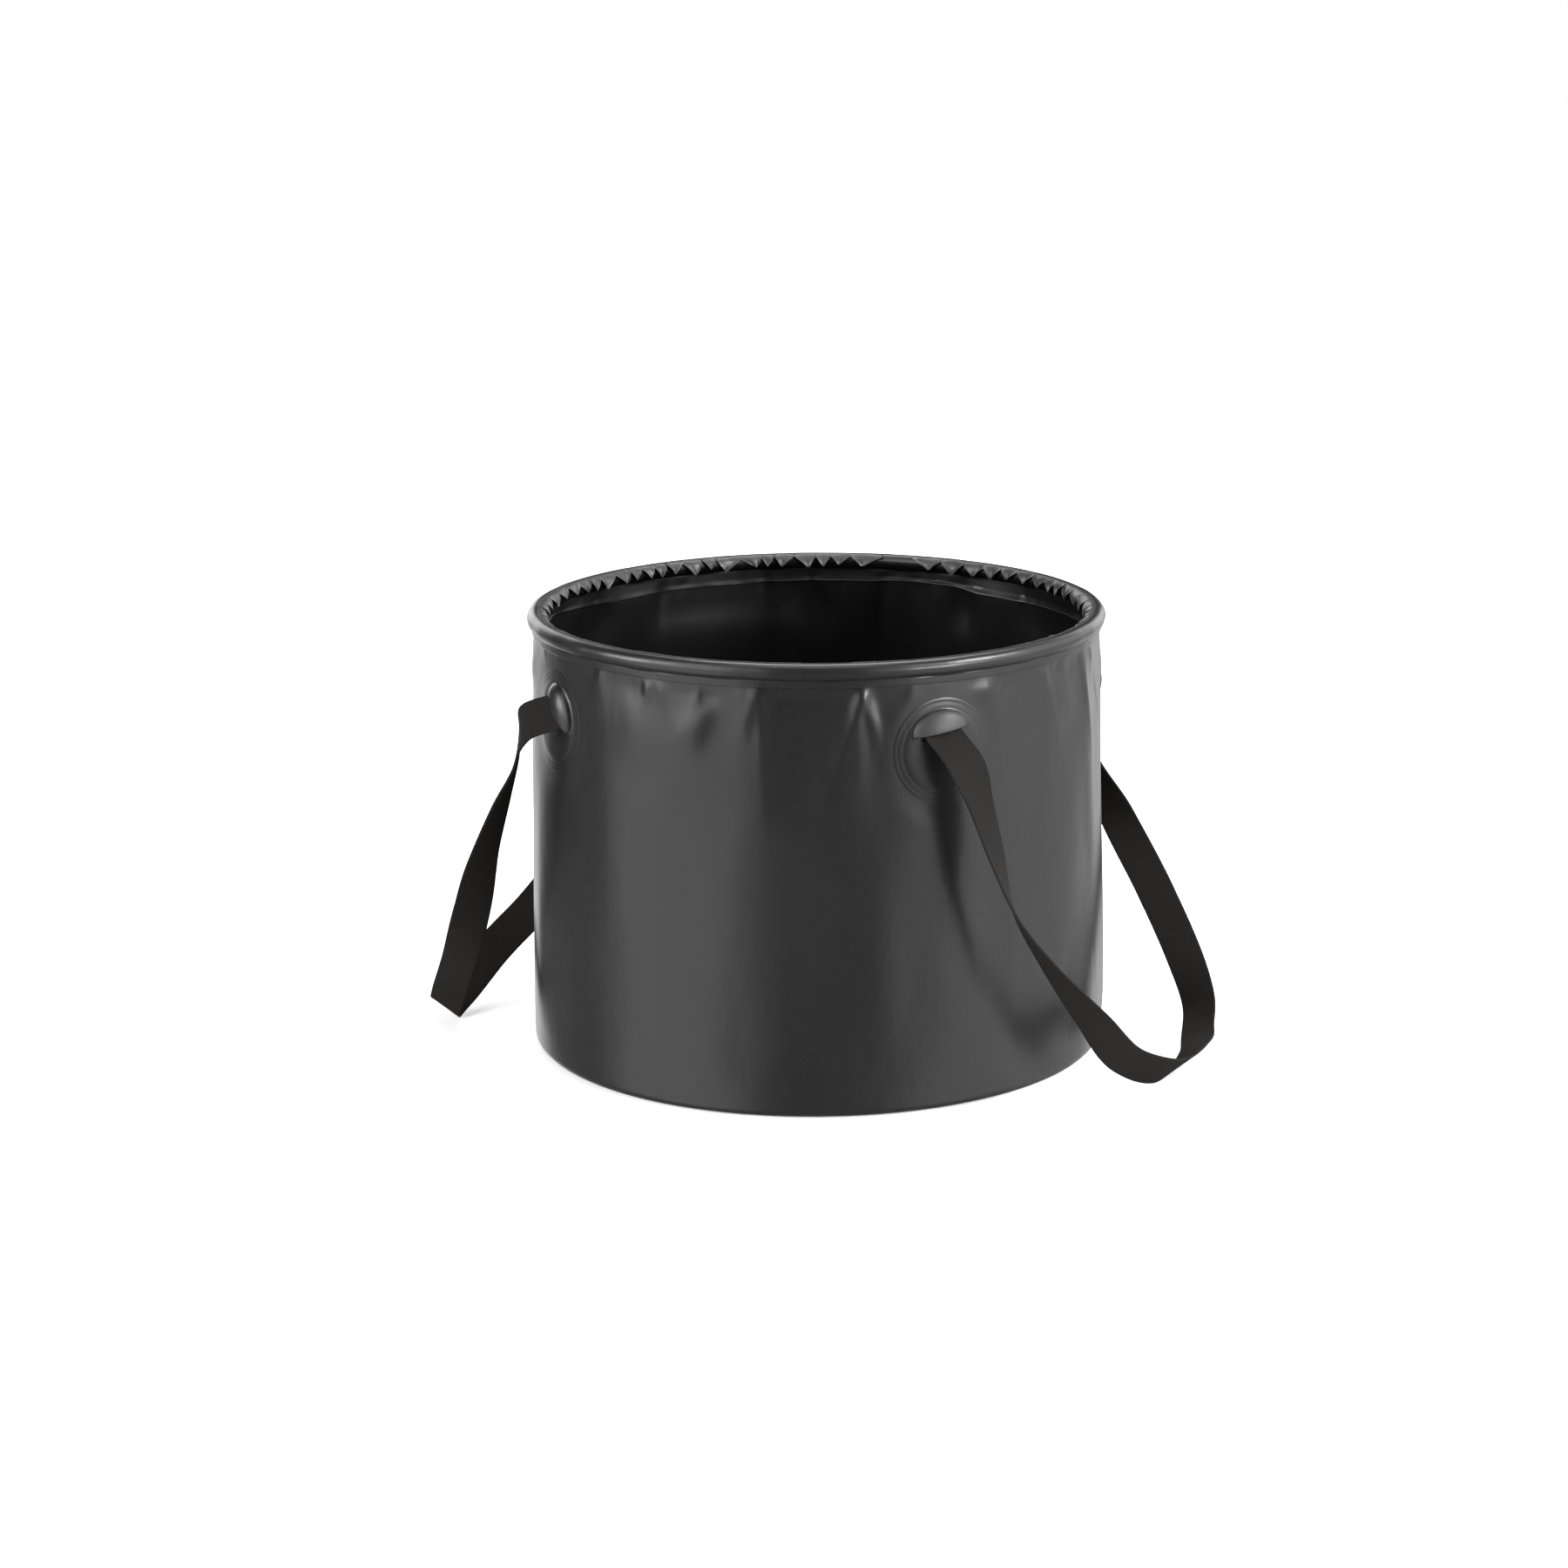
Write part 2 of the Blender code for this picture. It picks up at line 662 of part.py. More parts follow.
def make_handle_strap(webbing, handle, material):
    """The free webbing between its two round cuts."""

    def places(share, face):
        front = webbing.cut(webbing.front_hinge, -1, share, face, handle.front.cut_radius)
        rear = webbing.cut(webbing.rear_hinge, 1, share, face, handle.rear.cut_radius)
        first = webbing.front_hinge + ROW_STEPS
        last = webbing.rear_hinge - ROW_STEPS
        middle = np.linspace(first, last, int(round((last - first) / ROW_STEPS)) + 1)
        head = np.linspace(front, first, LEAD_STEPS + 1)[:-1]
        tail = np.linspace(last, rear, LEAD_STEPS + 1)[1:]
        return np.concatenate([head, middle, tail])

    origin = (webbing.hinge_x, 0.0, webbing.hinge_z)
    name = f"handle_strap_{handle.name}"
    return add_object(name, webbing.solid(places), material, crease=50.0, origin=origin)


def build():
    """Make every piece of the bucket."""
    clear_scene()
    sheet = make_material("coated_sheet", (0.075, 0.075, 0.078), 0.42)
    lining = make_material("base_sheet", (0.060, 0.060, 0.062), 0.45)
    rod = make_material("hoop_rod", (0.05, 0.05, 0.05), 0.50)
    weave = make_material("webbing", (0.022, 0.021, 0.020), 0.85)
    make_side_wall(sheet)
    make_base_panel(lining)
    make_rim_hoop(rod)
    make_rim_hem(sheet)
    for handle in (RIGHT, LEFT):
        webbing = Webbing(handle)
        for fitting, rear in ((handle.front, False), (handle.rear, True)):
            make_patch_base(fitting, sheet)
            make_patch_hood(fitting, sheet)
            make_strap_tail(webbing, fitting, rear, weave)
        make_handle_strap(webbing, handle, weave)


build()
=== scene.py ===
"""Looks of a folding camp bucket.

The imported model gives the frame. Each sub-assembly here is a class that models its
pieces over the frame's nodes and dresses them: the creased wall, the gathered hem,
the base sheet, the round fittings with their moulded hoods, and the webbing handles.

Metres, +Z up. The origin is the middle of the base, on the floor. +X runs through
the middle of the right handle and -Y is the front.
"""

from __future__ import annotations

import logging
import math
from dataclasses import dataclass
from enum import Enum
from typing import Any, Callable, Iterable, Sequence, Union

import bpy
import numpy as np
from mathutils import Matrix, Vector

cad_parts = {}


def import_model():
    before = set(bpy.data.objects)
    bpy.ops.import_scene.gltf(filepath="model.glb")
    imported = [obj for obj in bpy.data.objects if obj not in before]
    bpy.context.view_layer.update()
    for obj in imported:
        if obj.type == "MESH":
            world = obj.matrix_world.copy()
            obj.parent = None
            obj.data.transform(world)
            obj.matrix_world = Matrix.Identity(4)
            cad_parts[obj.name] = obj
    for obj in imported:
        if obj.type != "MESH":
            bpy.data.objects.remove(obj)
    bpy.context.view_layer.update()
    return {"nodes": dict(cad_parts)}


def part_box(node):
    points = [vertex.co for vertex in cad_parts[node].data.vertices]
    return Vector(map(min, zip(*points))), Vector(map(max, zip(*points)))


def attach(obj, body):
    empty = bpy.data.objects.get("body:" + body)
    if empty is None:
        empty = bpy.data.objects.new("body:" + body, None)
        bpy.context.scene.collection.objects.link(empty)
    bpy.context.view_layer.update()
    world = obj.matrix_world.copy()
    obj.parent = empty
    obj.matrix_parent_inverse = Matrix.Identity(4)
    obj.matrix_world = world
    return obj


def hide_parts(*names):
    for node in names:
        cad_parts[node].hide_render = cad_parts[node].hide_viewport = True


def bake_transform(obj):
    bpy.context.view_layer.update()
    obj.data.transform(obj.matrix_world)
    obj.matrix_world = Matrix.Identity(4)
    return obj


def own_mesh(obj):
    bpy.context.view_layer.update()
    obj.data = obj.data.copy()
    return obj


LOG = logging.getLogger("bucket")
MM = 0.001

Point = tuple[float, float]
Colour = tuple[float, float, float]
Move = Callable[[np.ndarray], np.ndarray]


class Body(Enum):
    """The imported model's moving bodies."""

    RIM = "rim"
    BASE = "base"
    HANDLE_RIGHT = "handle_right"
    HANDLE_LEFT = "handle_left"


class Slot(Enum):
    """The record's material slots."""

    SHEET = "coated_sheet"
    BASE = "base_sheet"
    ROD = "hoop_rod"
    HOOD = "moulded_hood"
    WEBBING = "webbing"


def smooth(share: np.ndarray | float) -> np.ndarray:
    """Ease a share of the way from 0 to 1, held at both ends."""
    held = np.clip(share, 0.0, 1.0)
    return held * held * (3.0 - 2.0 * held)


def turn_between(angles: np.ndarray | float, middle: np.ndarray | float) -> np.ndarray:
    """Degrees from one azimuth to others, the short way round."""
    return (np.asarray(angles) - middle + 180.0) % 360.0 - 180.0


def polar(points: np.ndarray) -> tuple[np.ndarray, np.ndarray, np.ndarray]:
    """Azimuth in degrees, radius and height of each point."""
    azimuth = np.degrees(np.arctan2(points[:, 1], points[:, 0]))
    return azimuth, np.hypot(points[:, 0], points[:, 1]), points[:, 2]


def from_polar(turn: np.ndarray, radius: np.ndarray, z: np.ndarray) -> np.ndarray:
    """Points from their azimuth in radians, radius and height."""
    return np.stack([radius * np.cos(turn), radius * np.sin(turn), z], axis=1)


def widened(points: np.ndarray, share: np.ndarray) -> np.ndarray:
    """Points moved out from the Z axis, to a share of their radius."""
    return points * np.stack([share, share, np.ones_like(share)], axis=1)


def flat(points: np.ndarray) -> np.ndarray:
    """Places on the cloth of a piece that lies flat: its own X and Y."""
    return points[:, :2]


def arc(centre: Point, radius: float, start: float, end: float, steps: int) -> list[Point]:
    """Points of an arc in the (radius, height) plane.

    Args:
        centre: the arc's centre.
        radius: its radius.
        start: its first angle in degrees.
        end: its last angle in degrees.
        steps: how many chords it has.

    Returns:
        The points, one more than the chords.
    """
    angles = np.radians(np.linspace(start, end, steps + 1))
    return [(centre[0] + radius * math.cos(a), centre[1] + radius * math.sin(a)) for a in angles]


def stretch(first: Point, last: Point, steps: int) -> list[Point]:
    """Points of a straight run, without its last one.

    Args:
        first: where it starts.
        last: where it ends.
        steps: how many parts it has.

    Returns:
        One point for each part, the first one included.
    """
    return [
        (first[0] + (last[0] - first[0]) * step / steps, first[1] + (last[1] - first[1]) * step / steps)
        for step in range(steps)
    ]


@dataclass(frozen=True)
class Facet:
    """A place where the sheet hangs flat between two ridges, widest at the hem.

    Attributes:
        azimuth: degrees, of its middle at the hem.
        foot_azimuth: degrees, of its tip.
        half_width: degrees, at the hem.
        foot: height of its tip.
        strength: 1 is quite flat, more is hollow.
    """

    azimuth: float
    foot_azimuth: float
    half_width: float
    foot: float
    strength: float


@dataclass(frozen=True)
class Fold:
    """A soft ridge or hollow that runs down the wall.

    Attributes:
        azimuth: degrees, at its top.
        foot_azimuth: degrees, at its foot.
        top: height of its top.
        foot: height of its foot.
        width: distance from its crest to its side.
        rise: how far it stands out, or in where it is negative.
    """

    azimuth: float
    foot_azimuth: float
    top: float
    foot: float
    width: float
    rise: float


@dataclass(frozen=True)
class Fitting:
    """One place where a handle joins the wall.

    Attributes:
        name: where it is.
        azimuth: degrees round the bucket.
        inward: the way round to the middle of its handle, +1 or -1.
        lean: degrees that the hood leans away from that middle.
    """

    name: str
    azimuth: float
    inward: int
    lean: float


@dataclass(frozen=True)
class Handle:
    """One webbing handle.

    Each bend of the route is a row: millimetres out from the hinge line, share of
    the way from the middle to the ends, share of the hinge's height up to the lower
    edge, and the direction across the webbing.

    Attributes:
        name: which handle it is.
        side: the side of the bucket that it hangs on, +1 or -1.
        body: the body that it swings with; not used.
        front: the fitting at its front end.
        rear: the fitting at its rear end.
        hinge_drop: how far the hinge line lies below the fittings.
        hinge_turn: degrees from each fitting to the hinge line's end.
        standoff: from the wall to the hinge line.
        tucks: how much closer than that its two ends lie, front and rear.
        front_across: direction across the webbing where it leaves the front hood.
        rear_across: the same at the rear hood.
        bends: the rows of its route, front to rear.
    """

    name: str
    side: int
    body: Body
    front: Fitting
    rear: Fitting
    hinge_drop: float
    hinge_turn: float
    standoff: float
    tucks: tuple[float, float]
    front_across: tuple[float, float, float]
    rear_across: tuple[float, float, float]
    bends: tuple[tuple[float, float, float, tuple[float, float, float]], ...]


FRONT_RIGHT = Fitting("front_right", -44.4, 1, 8.5)
REAR_RIGHT = Fitting("rear_right", 45.0, -1, 12.0)
FRONT_LEFT = Fitting("front_left", -132.5, -1, 46.0)
REAR_LEFT = Fitting("rear_left", 132.5, 1, 20.0)
FITTINGS = (FRONT_RIGHT, REAR_RIGHT, FRONT_LEFT, REAR_LEFT)

RIGHT_HANDLE = Handle(
    name="right",
    side=1,
    body=Body.HANDLE_RIGHT,
    front=FRONT_RIGHT,
    rear=REAR_RIGHT,
    hinge_drop=3 * MM,
    hinge_turn=1.2,
    standoff=17 * MM,
    tucks=(0.0, 5 * MM),
    front_across=(0.72, 0.69, 0.05),
    rear_across=(-0.71, 0.71, -0.05),
    bends=(
        (6.8, -0.984, 0.893, (0.35, 0.93, -0.06)),
        (15.8, -0.973, 0.738, (0.02, 1.00, -0.03)),
        (25.8, -0.981, 0.583, (-0.41, 0.91, -0.08)),
        (39.8, -0.853, 0.401, (-0.59, 0.74, -0.32)),
        (55.8, -0.706, 0.233, (-0.77, 0.37, -0.52)),
        (67.8, -0.473, 0.064, (-0.71, 0.04, -0.70)),
        (82.8, -0.310, 0.011, (-0.73, -0.05, -0.69)),
        (85.8, 0.078, 0.017, (-0.86, 0.03, -0.51)),
        (77.8, 0.388, 0.013, (-0.89, 0.04, -0.45)),
        (70.8, 0.611, 0.065, (-0.92, 0.14, -0.36)),
        (58.8, 0.732, 0.179, (-0.97, -0.14, -0.20)),
        (38.8, 0.818, 0.367, (-0.98, -0.20, -0.05)),
        (12.8, 0.922, 0.571, (-1.00, 0.03, -0.09)),
        (-5.5, 0.900, 0.798, (-0.66, 0.75, -0.08)),
    ),
)

LEFT_HANDLE = Handle(
    name="left",
    side=-1,
    body=Body.HANDLE_LEFT,
    front=FRONT_LEFT,
    rear=REAR_LEFT,
    hinge_drop=1 * MM,
    hinge_turn=2.5,
    standoff=16.5 * MM,
    tucks=(3 * MM, 2 * MM),
    front_across=(-0.52, 0.48, 0.70),
    rear_across=(0.72, 0.68, -0.10),
    bends=(
        (3.2, -0.949, 0.924, (-0.38, 0.83, 0.42)),
        (7.6, -0.923, 0.860, (-0.25, 0.94, 0.20)),
        (18.8, -0.880, 0.734, (-0.03, 0.98, -0.15)),
        (32.0, -0.829, 0.573, (0.33, 0.93, -0.15)),
        (47.0, -0.700, 0.380, (0.66, 0.60, -0.32)),
        (64.0, -0.564, 0.177, (0.85, 0.10, -0.50)),
        (76.0, -0.487, 0.043, (0.86, 0.05, -0.51)),
        (80.0, -0.436, 0.007, (0.86, 0.01, -0.50)),
        (79.0, -0.402, 0.018, (0.86, 0.03, -0.52)),
        (76.0, -0.325, 0.046, (0.84, 0.05, -0.54)),
        (69.0, -0.103, 0.133, (0.84, 0.12, -0.53)),
        (55.0, 0.103, 0.245, (0.89, 0.14, -0.44)),
        (43.0, 0.385, 0.393, (0.91, 0.28, -0.30)),
        (28.0, 0.684, 0.633, (0.86, 0.47, -0.22)),
        (11.0, 0.906, 0.854, (0.77, 0.63, -0.11)),
    ),
)

FACETS = (
    Facet(-70.0, -74.5, 10.0, 132 * MM, 1.3),
    Facet(-55.5, -59.0, 5.5, 134 * MM, 1.3),
    Facet(-93.0, -88.0, 9.0, 176 * MM, 0.7),
    Facet(-109.0, -112.0, 7.0, 186 * MM, 0.8),
    Facet(-120.5, -124.0, 5.0, 190 * MM, 0.9),
    Facet(-27.0, -22.0, 7.5, 170 * MM, 0.8),
    Facet(-10.0, -6.0, 9.0, 150 * MM, 0.8),
    Facet(11.0, 6.0, 8.0, 172 * MM, 0.9),
    Facet(28.0, 31.0, 7.0, 188 * MM, 0.8),
    Facet(68.0, 72.0, 9.0, 150 * MM, 0.9),
    Facet(84.0, 80.0, 5.0, 182 * MM, 0.8),
    Facet(104.0, 101.0, 8.0, 160 * MM, 1.0),
    Facet(117.0, 121.0, 5.0, 188 * MM, 0.8),
    Facet(156.0, 152.0, 9.0, 158 * MM, 0.9),
    Facet(174.0, 178.0, 7.0, 176 * MM, 0.9),
    Facet(-164.0, -160.0, 9.5, 148 * MM, 1.0),
)

FOLDS = (
    Fold(-127.0, -126.0, 165 * MM, 88 * MM, 15 * MM, -1.1 * MM),
    Fold(-141.0, -143.0, 150 * MM, 25 * MM, 12 * MM, 0.8 * MM),
    Fold(-96.0, -101.0, 205 * MM, 150 * MM, 15 * MM, 1.0 * MM),
    Fold(-60.5, -57.5, 221 * MM, 196 * MM, 3.0 * MM, 1.0 * MM),
    Fold(-81.0, -83.0, 221 * MM, 200 * MM, 4.0 * MM, 1.0 * MM),
    Fold(-104.0, -103.5, 222 * MM, 213 * MM, 2.6 * MM, 0.7 * MM),
    Fold(-100.6, -100.0, 222 * MM, 213 * MM, 2.4 * MM, 0.6 * MM),
    Fold(-92.5, -92.8, 222 * MM, 210 * MM, 2.8 * MM, 0.8 * MM),
    Fold(-91.5, -94.5, 210 * MM, 190 * MM, 8.5 * MM, 1.7 * MM),
    Fold(-106.0, -105.0, 206 * MM, 180 * MM, 13.0 * MM, 1.4 * MM),
    Fold(-50.5, -49.0, 209 * MM, 190 * MM, 7.0 * MM, 2.4 * MM),
    Fold(-36.5, -36.0, 217 * MM, 208 * MM, 6.0 * MM, 0.9 * MM),
    Fold(-12.0, -10.0, 212 * MM, 190 * MM, 12.0 * MM, 0.9 * MM),
    Fold(24.0, 22.0, 212 * MM, 194 * MM, 13.0 * MM, 1.5 * MM),
    Fold(77.0, 78.0, 214 * MM, 196 * MM, 10.0 * MM, 1.4 * MM),
    Fold(112.0, 111.0, 212 * MM, 192 * MM, 12.0 * MM, 1.6 * MM),
    Fold(165.0, 166.0, 213 * MM, 195 * MM, 13.0 * MM, 1.5 * MM),
    Fold(-175.0, -174.0, 210 * MM, 190 * MM, 12.0 * MM, 1.3 * MM),
    Fold(-150.0, -151.0, 214 * MM, 198 * MM, 9.0 * MM, 1.2 * MM),
    Fold(-34.0, -34.5, 219 * MM, 186 * MM, 4.5 * MM, 0.7 * MM),
    Fold(-47.0, -41.0, 160 * MM, 20 * MM, 16 * MM, 0.9 * MM),
    Fold(-36.0, -30.0, 130 * MM, 40 * MM, 14 * MM, -0.8 * MM),
    Fold(-10.0, -7.0, 62 * MM, 22 * MM, 12 * MM, -1.0 * MM),
    Fold(-22.0, -16.0, 88 * MM, 60 * MM, 10 * MM, -0.5 * MM),
    Fold(-1.0, 1.0, 205 * MM, 110 * MM, 9 * MM, 0.9 * MM),
    Fold(-3.3, 1.0, 220 * MM, 168 * MM, 2.6 * MM, 0.5 * MM),
    Fold(2.3, 9.0, 221 * MM, 188 * MM, 2.4 * MM, 0.6 * MM),
    Fold(-70.0, -66.0, 120 * MM, 30 * MM, 22 * MM, -0.7 * MM),
    Fold(20.0, 24.0, 175 * MM, 60 * MM, 15 * MM, -0.9 * MM),
    Fold(62.0, 58.0, 150 * MM, 40 * MM, 17 * MM, 0.9 * MM),
    Fold(78.0, 80.0, 140 * MM, 50 * MM, 13 * MM, -0.9 * MM),
    Fold(110.0, 106.0, 150 * MM, 35 * MM, 16 * MM, -0.9 * MM),
    Fold(124.0, 127.0, 130 * MM, 30 * MM, 14 * MM, 0.8 * MM),
    Fold(160.0, 163.0, 150 * MM, 45 * MM, 15 * MM, 0.9 * MM),
    Fold(180.0, 176.0, 165 * MM, 60 * MM, 18 * MM, -0.9 * MM),
    Fold(-154.0, -158.0, 140 * MM, 40 * MM, 13 * MM, -0.8 * MM),
)

# The lower edge of the hem's inner leaf: azimuth, millimetres that it sags, share of its flare.
LEAF_EDGE = (
    (-150.0, 0.5, 0.6),
    (-110.0, 1.5, 0.8),
    (-70.0, 0.0, 0.5),
    (-30.0, 1.0, 0.9),
    (10.0, 2.0, 0.6),
    (67.0, 2.5, 1.0),
    (73.0, 2.0, 1.0),
    (81.0, -0.5, 0.95),
    (93.0, -1.0, 0.9),
    (99.0, 0.0, 0.8),
    (120.0, 0.0, 0.8),
    (128.0, 1.0, 0.35),
    (145.0, 0.8, 0.3),
    (161.0, 1.5, 0.3),
    (184.0, -2.0, 0.4),
)

# Azimuths of the pleats' tips along the far side, with a plain stretch at the back.
PLEAT_TIPS = (
    35.0, 40.8, 44.0, 47.8, 52.8, 57.7, 63.2, 67.8, 73.2, 78.8, 84.5, 100.5, 106.0, 109.5, 112.8,
    119.0, 122.2, 124.8, 132.0, 135.8, 139.5, 145.0, 148.3, 151.5, 155.5, 158.5, 165.0, 168.6,
    171.8, 177.5, 182.8,
)


@dataclass(frozen=True)
class BucketForm:
    """The sizes that every piece shares, and the wall's creased surface.

    Attributes:
        rim_radius: to the outside of the rolled rim.
        height: floor to the top of the rim.
        sheet: thickness of the coated sheet.
        fit: gap between pieces that are welded.
        hoop_wire: radius of the hoop's rod.
        hem_outside: rim's top to the hem's lower edge, outside.
        hem_inside: the same inside.
        weld_inset: the wall's top edge stops this far under the hoop.
        wall_swell: how far the wall swells beyond its radius at the rim.
        swell_height: where it is widest.
        base_corner: radius of the bend at the foot of the wall.
        flange: width of the turned-in edge.
        fitting_drop: rim's top to the middle of the round patches.
        ripple: size of the wall's faint waves.
        ridge: how far the sheet stands out on either side of a flat place.
        ridge_width: radians, from the crest of that to its side.
        facet_taper: how much narrower a flat place is at its tip.
        sharpness: how softly a flat place starts, as a share of the radius.
        fold_end: the longest run over which a fold starts or ends.
        ripple_fade: height over which the ripples start under the hem.
        hem_fade: and over which all creases start there.
        foot_fade: and at the foot of the wall.
        plain_reach: radius of the uncreased wall round a fitting.
        plain_fade: distance over which the creases start round that.
    """

    rim_radius: float
    height: float
    sheet: float = 0.8 * MM
    fit: float = 0.3 * MM
    hoop_wire: float = 3.4 * MM
    hem_outside: float = 12.5 * MM
    hem_inside: float = 15.5 * MM
    weld_inset: float = 1.6 * MM
    wall_swell: float = 3.6 * MM
    swell_height: float = 55 * MM
    base_corner: float = 5 * MM
    flange: float = 18 * MM
    fitting_drop: float = 47 * MM
    ripple: float = 0.22 * MM
    ridge: float = 0.55 * MM
    ridge_width: float = 0.024
    facet_taper: float = 0.6
    sharpness: float = 0.0007
    fold_end: float = 28 * MM
    ripple_fade: float = 40 * MM
    hem_fade: float = 10 * MM
    foot_fade: float = 22 * MM
    plain_reach: float = 26 * MM
    plain_fade: float = 15 * MM

    @property
    def roll_radius(self) -> float:
        """Outside radius of the rolled rim's tube."""
        return self.hoop_wire + self.fit + self.sheet

    @property
    def hoop_radius(self) -> float:
        """Radius of the hoop's centre line."""
        return self.rim_radius - self.roll_radius

    @property
    def hoop_z(self) -> float:
        """Height of the hoop's centre line."""
        return self.height - self.roll_radius

    @property
    def wall_top_z(self) -> float:
        """Height of the wall's top edge."""
        return self.hoop_z - self.hoop_wire - self.weld_inset

    @property
    def wall_top_radius(self) -> float:
        """Outside radius of the wall's top edge."""
        return self.hoop_radius + self.sheet

    @property
    def hem_low(self) -> float:
        """Height of the hem's lower edge, outside."""
        return self.height - self.hem_outside

    @property
    def fitting_z(self) -> float:
        """Height of the middle of the round patches."""
        return self.height - self.fitting_drop

    def plain_radius(self, z: np.ndarray | float) -> np.ndarray | float:
        """Outside radius of the wall at a height, before its creases."""
        share = (z - self.swell_height) / (self.wall_top_z - self.swell_height)
        return self.wall_top_radius + self.wall_swell * (1.0 - share * share)

    def crease(self, azimuth: np.ndarray, z: np.ndarray) -> np.ndarray:
        """How far the creased sheet stands out from the plain wall.

        Args:
            azimuth: degrees round the bucket, one for each point.
            z: heights, one for each point.

        Returns:
            Distances in metres, negative where the sheet lies further in.
        """
        moved = self.facets(azimuth, z) + self.folds(azimuth, z) + self.puckers(azimuth, z)
        moved += self.ripples(azimuth, z) * smooth((self.hem_low - z) / self.ripple_fade)
        near_hem = smooth((self.hoop_z - self.roll_radius - z) / self.hem_fade)
        near_foot = smooth((z - self.base_corner) / self.foot_fade)
        return moved * near_hem * near_foot * self.clear_of_fittings(azimuth, z)

    def facets(self, azimuth: np.ndarray, z: np.ndarray) -> np.ndarray:
        """The flat places that hang from the hem.

        Args:
            azimuth: degrees round the bucket, one for each point.
            z: heights, one for each point.

        Returns:
            How far the sheet stands out at each, in metres.
        """
        total = np.zeros_like(azimuth)
        for facet in FACETS:
            share = np.clip((self.hem_low - z) / (self.hem_low - facet.foot), 0.0, 1.0)
            middle = facet.azimuth + (facet.foot_azimuth - facet.azimuth) * share
            half = np.radians(facet.half_width) * (1.0 - self.facet_taper * share)
            offset = np.radians(turn_between(azimuth, middle))
            depth = 1.0 - np.cos(half) / np.cos(np.clip(offset, -1.0, 1.0))
            softened = np.logaddexp(0.0, depth / self.sharpness) * self.sharpness
            fade = 1.0 - smooth((share - 0.5) / 0.5)
            total -= facet.strength * self.wall_top_radius * softened * fade
            beside = (np.abs(offset) - half) / self.ridge_width
            ridge = facet.strength * self.ridge * np.exp(-beside * beside)
            total += ridge * (1.0 - smooth(share / 0.6))
        return total

    def puckers(self, azimuth: np.ndarray, z: np.ndarray) -> np.ndarray:
        """The small tight folds just under the hem.

        Args:
            azimuth: degrees round the bucket, one for each point.
            z: heights, one for each point.

        Returns:
            How far the sheet stands out at each, in metres.
        """
        draw = np.random.default_rng(21)
        total = np.zeros_like(azimuth)
        middle = -180.0
        while middle < 180.0:
            width, length = draw.uniform(0.7, 1.9), draw.uniform(7.0, 20.0) * MM
            rise, slant = draw.uniform(-0.5, 0.62) * MM, draw.uniform(-2.2, 2.2)
            share = np.clip((self.hem_low - z) / length, 0.0, 1.0)
            offset = turn_between(azimuth, middle + slant * share) / width
            total += rise * np.exp(-offset * offset) * (1.0 - smooth(share))
            middle += draw.uniform(2.4, 8.0)
        return total

    def folds(self, azimuth: np.ndarray, z: np.ndarray) -> np.ndarray:
        """The soft ridges and hollows.

        Args:
            azimuth: degrees round the bucket, one for each point.
            z: heights, one for each point.

        Returns:
            How far the sheet stands out at each, in metres.
        """
        total = np.zeros_like(azimuth)
        for fold in FOLDS:
            share = np.clip((fold.top - z) / (fold.top - fold.foot), 0.0, 1.0)
            middle = fold.azimuth + (fold.foot_azimuth - fold.azimuth) * share
            offset = np.radians(turn_between(azimuth, middle)) * self.rim_radius / fold.width
            reach = min(self.fold_end, (fold.top - fold.foot) * 0.45)
            above = smooth((fold.top + reach - z) / (2 * reach))
            below = smooth((z - fold.foot + reach) / (2 * reach))
            total += fold.rise * np.exp(-offset * offset) * (above * below)
        return total

    def ripples(self, azimuth: np.ndarray, z: np.ndarray) -> np.ndarray:
        """Faint waves all over the sheet, drawn out upright.

        Args:
            azimuth: degrees round the bucket, one for each point.
            z: heights, one for each point.

        Returns:
            How far the sheet stands out at each, in metres.
        """
        draw = np.random.default_rng(11)
        total = np.zeros_like(azimuth)
        turn = np.radians(azimuth)
        for _ in range(16):
            waves = int(draw.integers(5, 26))
            climb = draw.uniform(-38.0, 38.0)
            size = draw.uniform(0.4, 1.0) * 9.0 / (waves + 4.0)
            phase = draw.uniform(0.0, math.tau)
            total += size * np.sin(waves * turn + climb * z + phase)
        return self.ripple * total

    def clear_of_fittings(self, azimuth: np.ndarray, z: np.ndarray) -> np.ndarray:
        """0 under the round patches, which lie on the plain wall, and 1 away from them.

        Args:
            azimuth: degrees round the bucket, one for each point.
            z: heights, one for each point.

        Returns:
            One share for each point.
        """
        clear = np.ones_like(azimuth)
        for fitting in FITTINGS:
            turn = np.radians(turn_between(azimuth, fitting.azimuth))
            away = np.hypot(turn * self.plain_radius(self.fitting_z), z - self.fitting_z)
            clear *= smooth((away - self.plain_reach) / self.plain_fade)
        return clear

    def crease_points(self, points: np.ndarray) -> np.ndarray:
        """Move points of the plain wall onto the creased one.

        Args:
            points: one row each.

        Returns:
            The moved points.
        """
        azimuth, radius, z = polar(points)
        on_wall = smooth((radius - (self.rim_radius - 2.5 * self.base_corner)) / self.base_corner)
        return widened(points, (radius + self.crease(azimuth, z) * on_wall) / radius)

    def along_rim(self, points: np.ndarray) -> np.ndarray:
        """How far round the bucket each point is from the front, in metres at the rim."""
        return np.arctan2(points[:, 0], -points[:, 1]) * self.rim_radius

